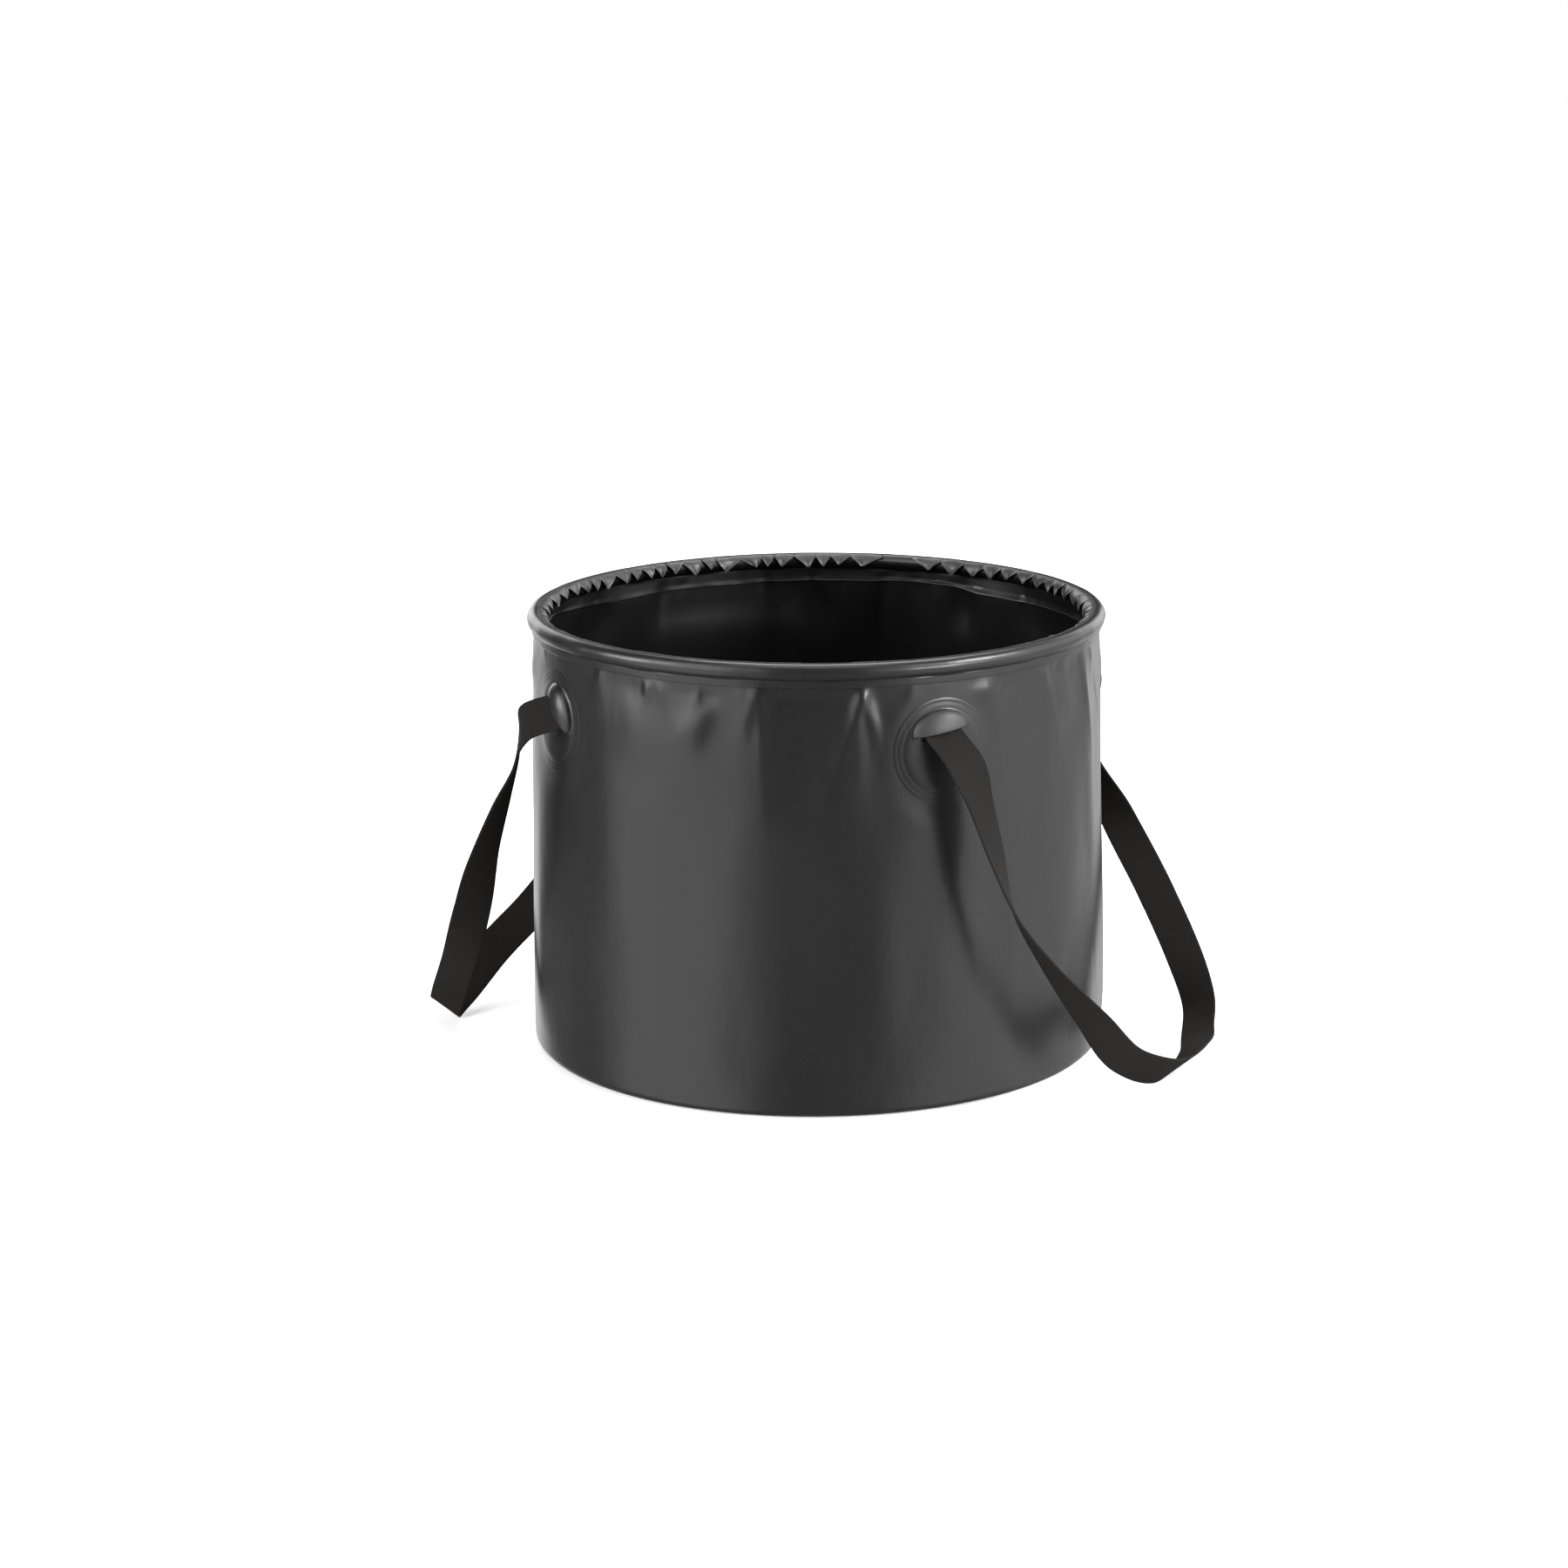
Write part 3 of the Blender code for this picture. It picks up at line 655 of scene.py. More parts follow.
    def on_wall(self, fitting: Fitting, points: np.ndarray) -> np.ndarray:
        """Roll points given flat on a patch, as across, up and height, onto the wall.

        Args:
            fitting: where the patch is.
            points: across, up and height over the wall, one row each.

        Returns:
            The points round the bucket.
        """
        turn = math.radians(fitting.azimuth)
        angle = turn + fitting.inward * points[:, 0] / self.plain_radius(self.fitting_z)
        z = self.fitting_z + points[:, 1]
        return from_polar(angle, self.plain_radius(z) + points[:, 2], z)


class Signal:
    """A value in a material's node tree, on which sums are written as in Python."""

    def __init__(self, graph: Graph, socket: bpy.types.NodeSocket) -> None:
        """Hold a socket and the tree that it is in."""
        self.graph = graph
        self.socket = socket

    def maths(self, operation: str, *others: Value) -> Signal:
        """A Math node on this value and up to two others."""
        inputs = dict(enumerate((self, *others)))
        return self.graph.node("ShaderNodeMath", {"operation": operation}, inputs)

    def __add__(self, other: Value) -> Signal:
        """This and another value."""
        return self.maths("ADD", other)

    def __radd__(self, other: Value) -> Signal:
        """Another value and this."""
        return self.maths("ADD", other)

    def __sub__(self, other: Value) -> Signal:
        """This less another value."""
        return self.maths("SUBTRACT", other)

    def __rsub__(self, other: Value) -> Signal:
        """Another value less this."""
        return self.maths("MULTIPLY", -1.0) + other

    def __mul__(self, other: Value) -> Signal:
        """This times another value."""
        return self.maths("MULTIPLY", other)

    def __rmul__(self, other: Value) -> Signal:
        """Another value times this."""
        return self.maths("MULTIPLY", other)

    def clamped(self) -> Signal:
        """This value, held between 0 and 1."""
        return self.graph.node("ShaderNodeClamp", {}, {"Value": self})


Value = Union[Signal, float, Sequence[float]]


class Graph:
    """The node tree of a material or of the studio's world."""

    def __init__(self, owner: bpy.types.Material | bpy.types.World) -> None:
        """Take a material or a world and empty its tree.

        Args:
            owner: the material or the world.
        """
        self.owner = owner
        owner.use_nodes = True
        owner.node_tree.nodes.clear()

    def node(
        self,
        kind: str,
        settings: dict[str, Any] | None = None,
        inputs: dict[int | str, Value] | None = None,
        output: int | str = 0,
    ) -> Signal:
        """Add a node.

        Args:
            kind: the node's type.
            settings: its settings, which are set first; "stops" are a ramp's places and greys.
            inputs: values or links for its sockets, by name or number.
            output: the socket that is wanted from it.

        Returns:
            That socket.
        """
        node = self.owner.node_tree.nodes.new(kind)
        for key, setting in (settings or {}).items():
            if key == "stops":
                self.set_stops(node, setting)
            else:
                setattr(node, key, setting)
        for key, value in (inputs or {}).items():
            if isinstance(value, Signal):
                self.owner.node_tree.links.new(value.socket, node.inputs[key])
            else:
                node.inputs[key].default_value = value
        return Signal(self, node.outputs[output]) if node.outputs else Signal(self, node.inputs[0])

    @staticmethod
    def set_stops(node: bpy.types.Node, stops: Iterable[tuple[float, float]]) -> None:
        """Give a ramp its stops, each a place and a grey.

        Args:
            node: the ramp.
            stops: a place and a grey for each.
        """
        elements = node.color_ramp.elements
        for index, (place, grey) in enumerate(stops):
            element = elements[index] if index < len(elements) else elements.new(place)
            element.position = place
            element.color = (grey, grey, grey, 1.0)

    def mix(self, share: Value, first: Value, second: Value) -> Signal:
        """A colour between two others."""
        inputs = {0: share, 6: self.rgba(first), 7: self.rgba(second)}
        return self.node("ShaderNodeMix", {"data_type": "RGBA"}, inputs, 2)

    @staticmethod
    def rgba(colour: Value) -> Value:
        """A colour with its alpha, or the signal that it comes from."""
        return colour if isinstance(colour, Signal) else (*colour, 1.0)

    def place(self, scale: Sequence[float] = (1.0, 1.0, 1.0), output: str = "Object") -> Signal:
        """Object or UV coordinates, scaled along each axis."""
        source = self.node("ShaderNodeTexCoord", {}, {}, output)
        return self.node("ShaderNodeMapping", {}, {"Vector": source, "Scale": scale})

    def noise(self, vector: Signal, scale: float, detail: float, rough: float = 0.5) -> Signal:
        """Cloudy noise about 0.5."""
        inputs = {"Vector": vector, "Scale": scale, "Detail": detail, "Roughness": rough}
        return self.node("ShaderNodeTexNoise", {}, inputs)

    def bump(self, height: Signal, distance: float, strength: float) -> Signal:
        """A normal that a height pattern tilts."""
        inputs = {"Strength": strength, "Distance": distance, "Height": height}
        return self.node("ShaderNodeBump", {}, inputs)

    def span(self, value: Signal, source: Point, target: Point, kind: str = "LINEAR") -> Signal:
        """Carry a value from one range into another.

        Args:
            value: the value.
            source: the first range's two ends.
            target: the second's.
            kind: how it runs between them.

        Returns:
            The new value, held within the second range.
        """
        ends = {"From Min": source[0], "From Max": source[1], "To Min": target[0], "To Max": target[1]}
        return self.node("ShaderNodeMapRange", {"interpolation_type": kind}, {"Value": value, **ends})

    def vector(self, operation: str, *inputs: Value, output: str = "Value") -> Signal:
        """A Vector Math node on one or two vectors."""
        return self.node("ShaderNodeVectorMath", {"operation": operation}, dict(enumerate(inputs)), output)

    def finish(self, inputs: dict[str, Value]) -> bpy.types.Material:
        """End the tree in a Principled shader.

        Args:
            inputs: values or links for the shader's sockets.

        Returns:
            The finished material.
        """
        shader = self.node("ShaderNodeBsdfPrincipled", {}, inputs)
        self.node("ShaderNodeOutputMaterial", {}, {"Surface": shader})
        return self.owner


@dataclass(frozen=True)
class SheetFinish:
    """Coated sheet with a satin face over a woven core.

    Attributes:
        name: the material's name.
        colour: its usual colour.
        deep: its colour where it is darkest.
        roughness: how dull the face is.
        grain: height of the fine grain.
        weave: height of the core's weave, which shows through.
        clouds: height of the soft unevenness.
        pitch: from thread to thread in the core.
        mirror: specular level of the face.
    """

    name: str
    colour: Colour
    deep: Colour
    roughness: float = 0.42
    grain: float = 0.003 * MM
    weave: float = 0.006 * MM
    clouds: float = 0.65 * MM
    pitch: float = 1.1 * MM
    mirror: float = 0.5

    def material(self) -> bpy.types.Material:
        """Make the material: cloudy colour and gloss, grain, and the core's weave.

        Returns:
            The material.
        """
        graph = Graph(bpy.data.materials.new(self.name))
        upright = graph.place((1.0, 1.0, 0.35))
        even = graph.place()
        cloth = graph.place(output="UV")
        clouds = graph.noise(upright, 26.0, 4.0, 0.55)
        blotch = graph.noise(even, 9.0, 2.0)
        grain = graph.noise(even, 1400.0, 3.0, 0.6)
        scuff = graph.node("ShaderNodeValToRGB", {"stops": ((0.56, 0.0), (0.74, 1.0))}, {
            0: graph.noise(upright, 45.0, 2.0, 0.5),
        })
        split = graph.node("ShaderNodeSeparateXYZ", {}, {"Vector": cloth}, "X")
        other = Signal(graph, split.socket.node.outputs["Y"])
        rate = math.tau / self.pitch
        threads = (split * rate).maths("SINE") * (other * rate).maths("SINE")
        tone = (clouds * 0.6 + blotch * 0.7 - 0.15).clamped()
        colour = graph.mix(tone, self.deep, self.colour)
        lighter = tuple(channel * 1.25 for channel in self.colour)
        colour = graph.mix(scuff * 0.2, colour, lighter)
        rough = clouds * 0.16 + grain * 0.02 + (self.roughness - 0.09)
        height = clouds * self.clouds + grain * self.grain + threads * self.weave
        return graph.finish({
            "Base Color": colour,
            "Roughness": rough.clamped(),
            "Normal": graph.bump(height, 1.0, 1.0),
            "Specular IOR Level": self.mirror,
        })


@dataclass(frozen=True)
class WebbingFinish:
    """Woven webbing, ribbed across, with a tight edge.

    Attributes:
        name: the material's name.
        colour: the top of a yarn.
        deep: the gaps between yarns.
        rib: from rib to rib along the webbing.
        yarn: from yarn to yarn across it.
        relief: height of the weave.
    """

    name: str
    colour: Colour
    deep: Colour
    rib: float = 1.1 * MM
    yarn: float = 0.7 * MM
    relief: float = 0.07 * MM

    def material(self) -> bpy.types.Material:
        """Make the material: yarns that pass over and under, and stray fibres.

        Returns:
            The material.
        """
        graph = Graph(bpy.data.materials.new(self.name))
        cloth = graph.place(output="UV")
        across = graph.node("ShaderNodeSeparateXYZ", {}, {"Vector": cloth}, "X")
        along = Signal(graph, across.socket.node.outputs["Y"])
        columns = across * (1.0 / self.yarn)
        half = columns.maths("FLOOR").maths("MODULO", 2.0) * 0.5
        over = (columns * math.pi).maths("SINE").maths("ABSOLUTE")
        rows = along * (1.0 / self.rib) + half
        rib = (rows * math.tau).maths("SINE") * 0.5 + 0.5
        weave = over.maths("POWER", 0.6) * (rib * 0.8 + 0.2)
        fibres = graph.noise(graph.place((2600.0, 420.0, 1.0), "UV"), 1.0, 3.0, 0.7)
        patches = graph.noise(graph.place(), 24.0, 3.0)
        tone = (weave * 0.75 + fibres * 0.35 + patches * 0.3 - 0.2).clamped()
        height = weave * self.relief + fibres * (self.relief * 0.35)
        return graph.finish({
            "Base Color": graph.mix(tone, self.deep, self.colour),
            "Roughness": (0.95 - weave * 0.18).clamped(),
            "Normal": graph.bump(height, 1.0, 1.0),
            "Specular IOR Level": 0.07,
        })


@dataclass(frozen=True)
class RodFinish:
    """The stiffening rod, a dull plastic.

    Attributes:
        name: the material's name.
        colour: its darker colour.
    """

    name: str = "rod_plastic"
    colour: Colour = (0.03, 0.03, 0.03)

    def material(self) -> bpy.types.Material:
        """Make the material.

        Returns:
            The material.
        """
        graph = Graph(bpy.data.materials.new(self.name))
        grain = graph.noise(graph.place(), 700.0, 2.0)
        lighter = tuple(channel * 1.6 for channel in self.colour)
        return graph.finish({
            "Base Color": graph.mix(grain, self.colour, lighter),
            "Roughness": grain * 0.2 + 0.4,
            "Normal": graph.bump(grain, 0.03 * MM, 1.0),
        })


SHEET_FINISH = SheetFinish("wall_sheet", (0.013, 0.013, 0.0135), (0.008, 0.008, 0.0085), roughness=0.29)
# A near-black copy of the wall's sheet for its inner faces: painted shade inside the bucket.
INSIDE_SHADE_FINISH = SheetFinish(
    "wall_inside_painted_shade", (0.004, 0.004, 0.004), (0.002, 0.002, 0.002), roughness=0.42, mirror=0.2
)
# A much lighter copy of the sheet for the pleats and the inner leaf's lower edge: painted highlight where
# they catch the light.
PLEAT_HIGHLIGHT_FINISH = SheetFinish(
    "sheet_painted_highlight",
    (0.048, 0.048, 0.049),
    (0.010, 0.010, 0.010),
    roughness=0.40,
    weave=0.0,
    clouds=0.8 * MM,
)
BASE_FINISH = SheetFinish("floor_sheet", (0.018, 0.018, 0.0185), (0.012, 0.012, 0.012), roughness=0.5)
HOOD_FINISH = SheetFinish(
    "hood_mould",
    (0.036, 0.036, 0.0355),
    (0.028, 0.028, 0.0275),
    roughness=0.48,
    weave=0.0,
    clouds=0.10 * MM,
)
WEBBING_FINISH = WebbingFinish("strap_weave", (0.0250, 0.0238, 0.0220), (0.008, 0.0076, 0.0072))


class Bench:
    """Blender's own modelling tools, used as by hand.

    Attributes:
        weld: points closer than this are one.
    """

    weld: float = 0.004 * MM

    @staticmethod
    def pick(piece: bpy.types.Object | None = None) -> None:
        """Leave edit mode and select one piece, or nothing.

        Args:
            piece: the piece, or None for nothing.
        """
        if bpy.context.mode != "OBJECT":
            bpy.ops.object.mode_set(mode="OBJECT")
        bpy.ops.object.select_all(action="DESELECT")
        if piece is not None:
            piece.select_set(True)
            bpy.context.view_layer.objects.active = piece

    @staticmethod
    def named(name: str) -> bpy.types.Object:
        """The piece that was just added, with a name for it and its mesh."""
        piece = bpy.context.active_object
        piece.name = piece.data.name = name
        return piece

    @classmethod
    def edit(cls, piece: bpy.types.Object) -> None:
        """Open a piece in edit mode with all of it selected.

        Args:
            piece: the piece.
        """
        cls.pick(piece)
        bpy.ops.object.mode_set(mode="EDIT")
        bpy.ops.mesh.select_all(action="SELECT")

    @classmethod
    def close(cls, piece: bpy.types.Object) -> None:
        """Weld a piece's doubles, turn its faces outward and leave edit mode.

        Args:
            piece: the piece, open in edit mode.
        """
        bpy.ops.mesh.select_all(action="SELECT")
        bpy.ops.mesh.remove_doubles(threshold=cls.weld)
        bpy.ops.mesh.normals_make_consistent(inside=False)
        cls.pick(piece)

    @classmethod
    def turn(cls, name: str, outline: Sequence[Point], steps: int, closed: bool) -> bpy.types.Object:
        """Draw an outline point by point and spin it about the Z axis.

        Args:
            name: the piece's name.
            outline: its points, as radius and height.
            steps: how many steps the spin has.
            closed: whether the last point joins the first.

        Returns:
            The piece.
        """
        cls.pick()
        bpy.ops.mesh.primitive_plane_add(size=MM)
        piece = cls.named(name)
        cls.edit(piece)
        bpy.ops.mesh.merge(type="CENTER")
        bpy.ops.transform.translate(value=(outline[0][0], 0.0, outline[0][1]))
        stops = [*outline, outline[0]] if closed else list(outline)
        for last, point in zip(stops, stops[1:]):
            step = (point[0] - last[0], 0.0, point[1] - last[1])
            bpy.ops.mesh.extrude_vertices_move(TRANSFORM_OT_translate={"value": step})
        bpy.ops.mesh.select_all(action="SELECT")
        bpy.ops.mesh.remove_doubles(threshold=cls.weld)
        bpy.ops.mesh.spin(steps=steps, angle=math.tau, center=(0.0, 0.0, 0.0), axis=(0.0, 0.0, 1.0))
        cls.close(piece)
        return piece

    @classmethod
    def finish_with(cls, piece: bpy.types.Object, kind: str, **settings: Any) -> None:
        """Add a modifier with its settings and apply it.

        Args:
            piece: the piece.
            kind: the modifier's type.
            settings: the modifier's settings.
        """
        cls.pick(piece)
        bpy.ops.object.modifier_add(type=kind)
        modifier = piece.modifiers[-1]
        for key, value in settings.items():
            setattr(modifier, key, value)
        bpy.ops.object.modifier_apply(modifier=modifier.name)

    @classmethod
    def copy(cls, piece: bpy.types.Object, name: str) -> bpy.types.Object:
        """A copy of a piece with its own mesh.

        Args:
            piece: the piece.
            name: the copy's name.

        Returns:
            The copy.
        """
        cls.pick(piece)
        bpy.ops.object.duplicate(linked=False)
        return cls.named(name)

    @classmethod
    def line(
        cls, piece: bpy.types.Object, inside_shade: bpy.types.Material, kept: np.ndarray | None = None
    ) -> None:
        """Give the faces that look in towards the Z axis a darker finish of their own: painted shade.

        Args:
            piece: the piece.
            inside_shade: that finish, a near-black copy of the sheet.
            kept: which faces keep theirs, one answer for each face.
        """
        mesh = piece.data
        normals = np.empty(len(mesh.polygons) * 3, dtype=np.float32)
        middles = np.empty_like(normals)
        mesh.polygons.foreach_get("normal", normals)
        mesh.polygons.foreach_get("center", middles)
        facing = (normals * middles).reshape(-1, 3)[:, :2].sum(axis=1)
        outward = np.hypot(middles[0::3], middles[1::3])
        inward = facing < -0.3 * outward
        if kept is not None:
            inward &= ~kept
        cls.second_finish(piece, inside_shade, inward)

    @staticmethod
    def second_finish(piece: bpy.types.Object, finish: bpy.types.Material, chosen: np.ndarray) -> None:
        """Give the chosen faces one more finish.

        Args:
            piece: the piece.
            finish: the finish.
            chosen: which faces take it, one answer for each face.
        """
        mesh = piece.data
        mesh.materials.append(finish)
        slots = np.empty(len(mesh.polygons), dtype=np.int32)
        mesh.polygons.foreach_get("material_index", slots)
        slots[chosen] = len(mesh.materials) - 1
        mesh.polygons.foreach_set("material_index", slots)
        mesh.update()

    @staticmethod
    def heights(piece: bpy.types.Object) -> np.ndarray:
        """Height of each face's middle.

        Args:
            piece: the piece.

        Returns:
            One height for each face.
        """
        middles = np.empty(len(piece.data.polygons) * 3, dtype=np.float32)
        piece.data.polygons.foreach_get("center", middles)
        return middles[2::3]

    @staticmethod
    def points_of(piece: bpy.types.Object) -> np.ndarray:
        """A piece's points, one row each.

        Args:
            piece: the piece.

        Returns:
            The points.
        """
        points = np.empty(len(piece.data.vertices) * 3, dtype=np.float32)
        piece.data.vertices.foreach_get("co", points)
        return points.reshape(-1, 3).astype(float)

    @classmethod
    def reshape(cls, piece: bpy.types.Object, move: Move) -> None:
        """Move a piece's points by a rule.

        Args:
            piece: the piece.
            move: turns its points into the moved ones.
        """
        points = move(cls.points_of(piece))
        piece.data.vertices.foreach_set("co", points.astype(np.float32).ravel())
        piece.data.update()

    @classmethod
    def chart(cls, piece: bpy.types.Object, rule: Move, period: float = 0.0) -> None:
        """Give a piece a UV map in metres.

        Args:
            piece: the piece.
            rule: turns points into places on the cloth.
            period: the distance after which the first of the two comes round again.
        """
        mesh = piece.data
        places = rule(cls.points_of(piece))
        corners = np.empty(len(mesh.loops), dtype=np.int32)
        mesh.loops.foreach_get("vertex_index", corners)
        chart = places[corners]
        if period:
            starts = np.empty(len(mesh.polygons), dtype=np.int32)
            counts = np.empty(len(mesh.polygons), dtype=np.int32)
            mesh.polygons.foreach_get("loop_start", starts)
            mesh.polygons.foreach_get("loop_total", counts)
            first = np.repeat(chart[starts, 0], counts)
            chart[:, 0] += period * np.round((first - chart[:, 0]) / period)
        layer = mesh.uv_layers.new(name="cloth") if not mesh.uv_layers else mesh.uv_layers[0]
        layer.data.foreach_set("uv", chart.astype(np.float32).ravel())

    @classmethod
    def dress(
        cls,
        piece: bpy.types.Object,
        material: bpy.types.Material,
        slot: Slot,
        body: Body | None,
        nodes: Sequence[str] = (),
        crease: float = 40.0,
    ) -> None:
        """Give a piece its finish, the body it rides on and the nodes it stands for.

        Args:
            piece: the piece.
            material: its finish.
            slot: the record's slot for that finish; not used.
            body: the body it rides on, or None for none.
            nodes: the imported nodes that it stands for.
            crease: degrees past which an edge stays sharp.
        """
        cls.pick(piece)
        piece.data.materials.clear()
        piece.data.materials.append(material)
        bpy.ops.object.shade_smooth_by_angle(angle=math.radians(crease))
        if body is not None:
            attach(piece, body.value)
        if nodes:
            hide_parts(*nodes)
        LOG.info("%s: %d faces", piece.name, len(piece.data.polygons))


@dataclass
class Wall:
    """The wall: one tube of coated sheet with a lap weld at the back.

    Attributes:
        form: the bucket's shared form.
        material: the sheet's finish.
        inside_shade: the finish of its inner faces, a near-black copy of the sheet: painted shade.
        steps: how finely it is divided round.
        rows_outside: and up its outer face.
        rows_inside: and up its inner face.
        lap_azimuth: degrees, of the lap weld.
        lap_width: width of the weld.
        lap_foot: height of its lower end.
        lift: how far the base can rise.
        backing: how far the wall is thickened inwards behind the fittings.
        backing_foot: height at which that starts.
        backing_top: and at which it ends.
        backing_half: degrees that it reaches to either side of a fitting.
    """

    form: BucketForm
    material: bpy.types.Material
    inside_shade: bpy.types.Material
    steps: int = 800
    rows_outside: int = 66
    rows_inside: int = 30
    lap_azimuth: float = 90.0
    lap_width: float = 18 * MM
    lap_foot: float = 12 * MM
    lift: float = 0.13
    backing: float = 1.3 * MM
    backing_foot: float = 50 * MM
    backing_top: float = 205 * MM
    backing_half: float = 20.0

    def build(self) -> None:
        """Make the wall and its lap, and dress them."""
        for piece, nodes in ((self.tube(), ("side_wall",)), (self.lap(), ())):
            Bench.dress(piece, self.material, Slot.SHEET, Body.RIM, nodes, crease=50.0)
            top = self.form.wall_top_z
            keep = (top - self.lift) / top
            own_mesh(piece)
            # Painted shade: the wall's inner faces take the near-black copy of the sheet.
            Bench.line(piece, self.inside_shade)

    def levels(self, rows: int) -> list[float]:
        """Heights of the rows, top first, closer together under the hem.

        Args:
            rows: how many steps they make.

        Returns:
            One height more than the steps.
        """
        form = self.form
        shares = np.linspace(0.0, 1.0, rows + 1) ** 1.5
        return list(form.wall_top_z + (form.base_corner - form.wall_top_z) * shares)

    def tube(self) -> bpy.types.Object:
        """The tube with its bend at the foot and its turned-in edge.

        Returns:
            The piece.
        """
        form = self.form
        bend = (float(form.plain_radius(form.base_corner)) - form.base_corner, form.base_corner)
        edge = bend[0] - form.flange
        outline = [(float(form.plain_radius(z)), z) for z in self.levels(self.rows_outside)[:-1]]
        outline += arc(bend, form.base_corner, 0.0, -90.0, 7)
        outline += stretch((bend[0] - 3 * MM, 0.0), (edge, 0.0), 4) + [(edge, 0.0), (edge, form.sheet)]
        outline += stretch((edge + 3 * MM, form.sheet), (bend[0], form.sheet), 4)
        outline += arc(bend, form.base_corner - form.sheet, -90.0, 0.0, 6)
        inside = self.levels(self.rows_inside)[:-1]
        outline += [(float(form.plain_radius(z)) - form.sheet, z) for z in reversed(inside)]
        piece = Bench.turn("wall_tube", outline, self.steps, closed=True)
        Bench.chart(piece, self.cloth, math.tau * form.rim_radius)
        Bench.reshape(piece, self.back_fittings)
        Bench.reshape(piece, form.crease_points)
        return piece

    def back_fittings(self, points: np.ndarray) -> np.ndarray:
        """Thicken the wall inwards behind the fittings.

        Args:
            points: of the plain tube, one row each.

        Returns:
            The moved points.
        """
        form = self.form
        azimuth, radius, z = polar(points)
        inside = form.plain_radius(z) - radius > form.sheet / 2
        behind = smooth((z - self.backing_foot) / (25 * MM)) * smooth((self.backing_top - z) / (12 * MM))
        window = np.zeros_like(azimuth)
        for place in FITTINGS:
            away = np.abs(turn_between(azimuth, place.azimuth))
            window += smooth((self.backing_half - away) / 8.0)
        thicker = self.backing * inside * behind * window
        return widened(points, 1.0 - thicker / np.maximum(radius, form.sheet))

    def cloth(self, points: np.ndarray) -> np.ndarray:
        """Places on the flat sheet: round the bucket and up it, or in towards its middle.

        Args:
            points: one row each.

        Returns:
            Two numbers for each point, in metres.
        """
        _, radius, z = polar(points)
        return np.stack([self.form.along_rim(points), z + radius - self.form.rim_radius], axis=1)

    def lap(self) -> bpy.types.Object:
        """The strip where the sheet overlaps itself, with a rounded edge.

        Returns:
            The piece.
        """
        form = self.form
        top = form.hem_low - form.fit - form.sheet
        rise = top - self.lap_foot
        Bench.pick()
        bpy.ops.mesh.primitive_grid_add(x_subdivisions=14, y_subdivisions=96, size=1.0)
        piece = bpy.context.active_object
        piece.name = "wall_lap"
        Bench.chart(piece, lambda points: points[:, :2] * (self.lap_width, rise))

        def lay(points: np.ndarray) -> np.ndarray:
            """Points of the strip, laid on the creased wall.

            Args:
                points: of the grid, one row each.

            Returns:
                The moved points.
            """
            z = self.lap_foot + (points[:, 1] + 0.5) * rise
            radius = form.plain_radius(z)
            azimuth = self.lap_azimuth + np.degrees(points[:, 0] * self.lap_width / radius)
            return from_polar(np.radians(azimuth), radius + form.crease(azimuth, z) + form.sheet / 2, z)

        Bench.reshape(piece, lay)
        Bench.finish_with(piece, "SOLIDIFY", thickness=form.sheet, offset=0.0)
        Bench.finish_with(piece, "BEVEL", width=0.3 * MM, segments=2, limit_method="ANGLE")
        return piece


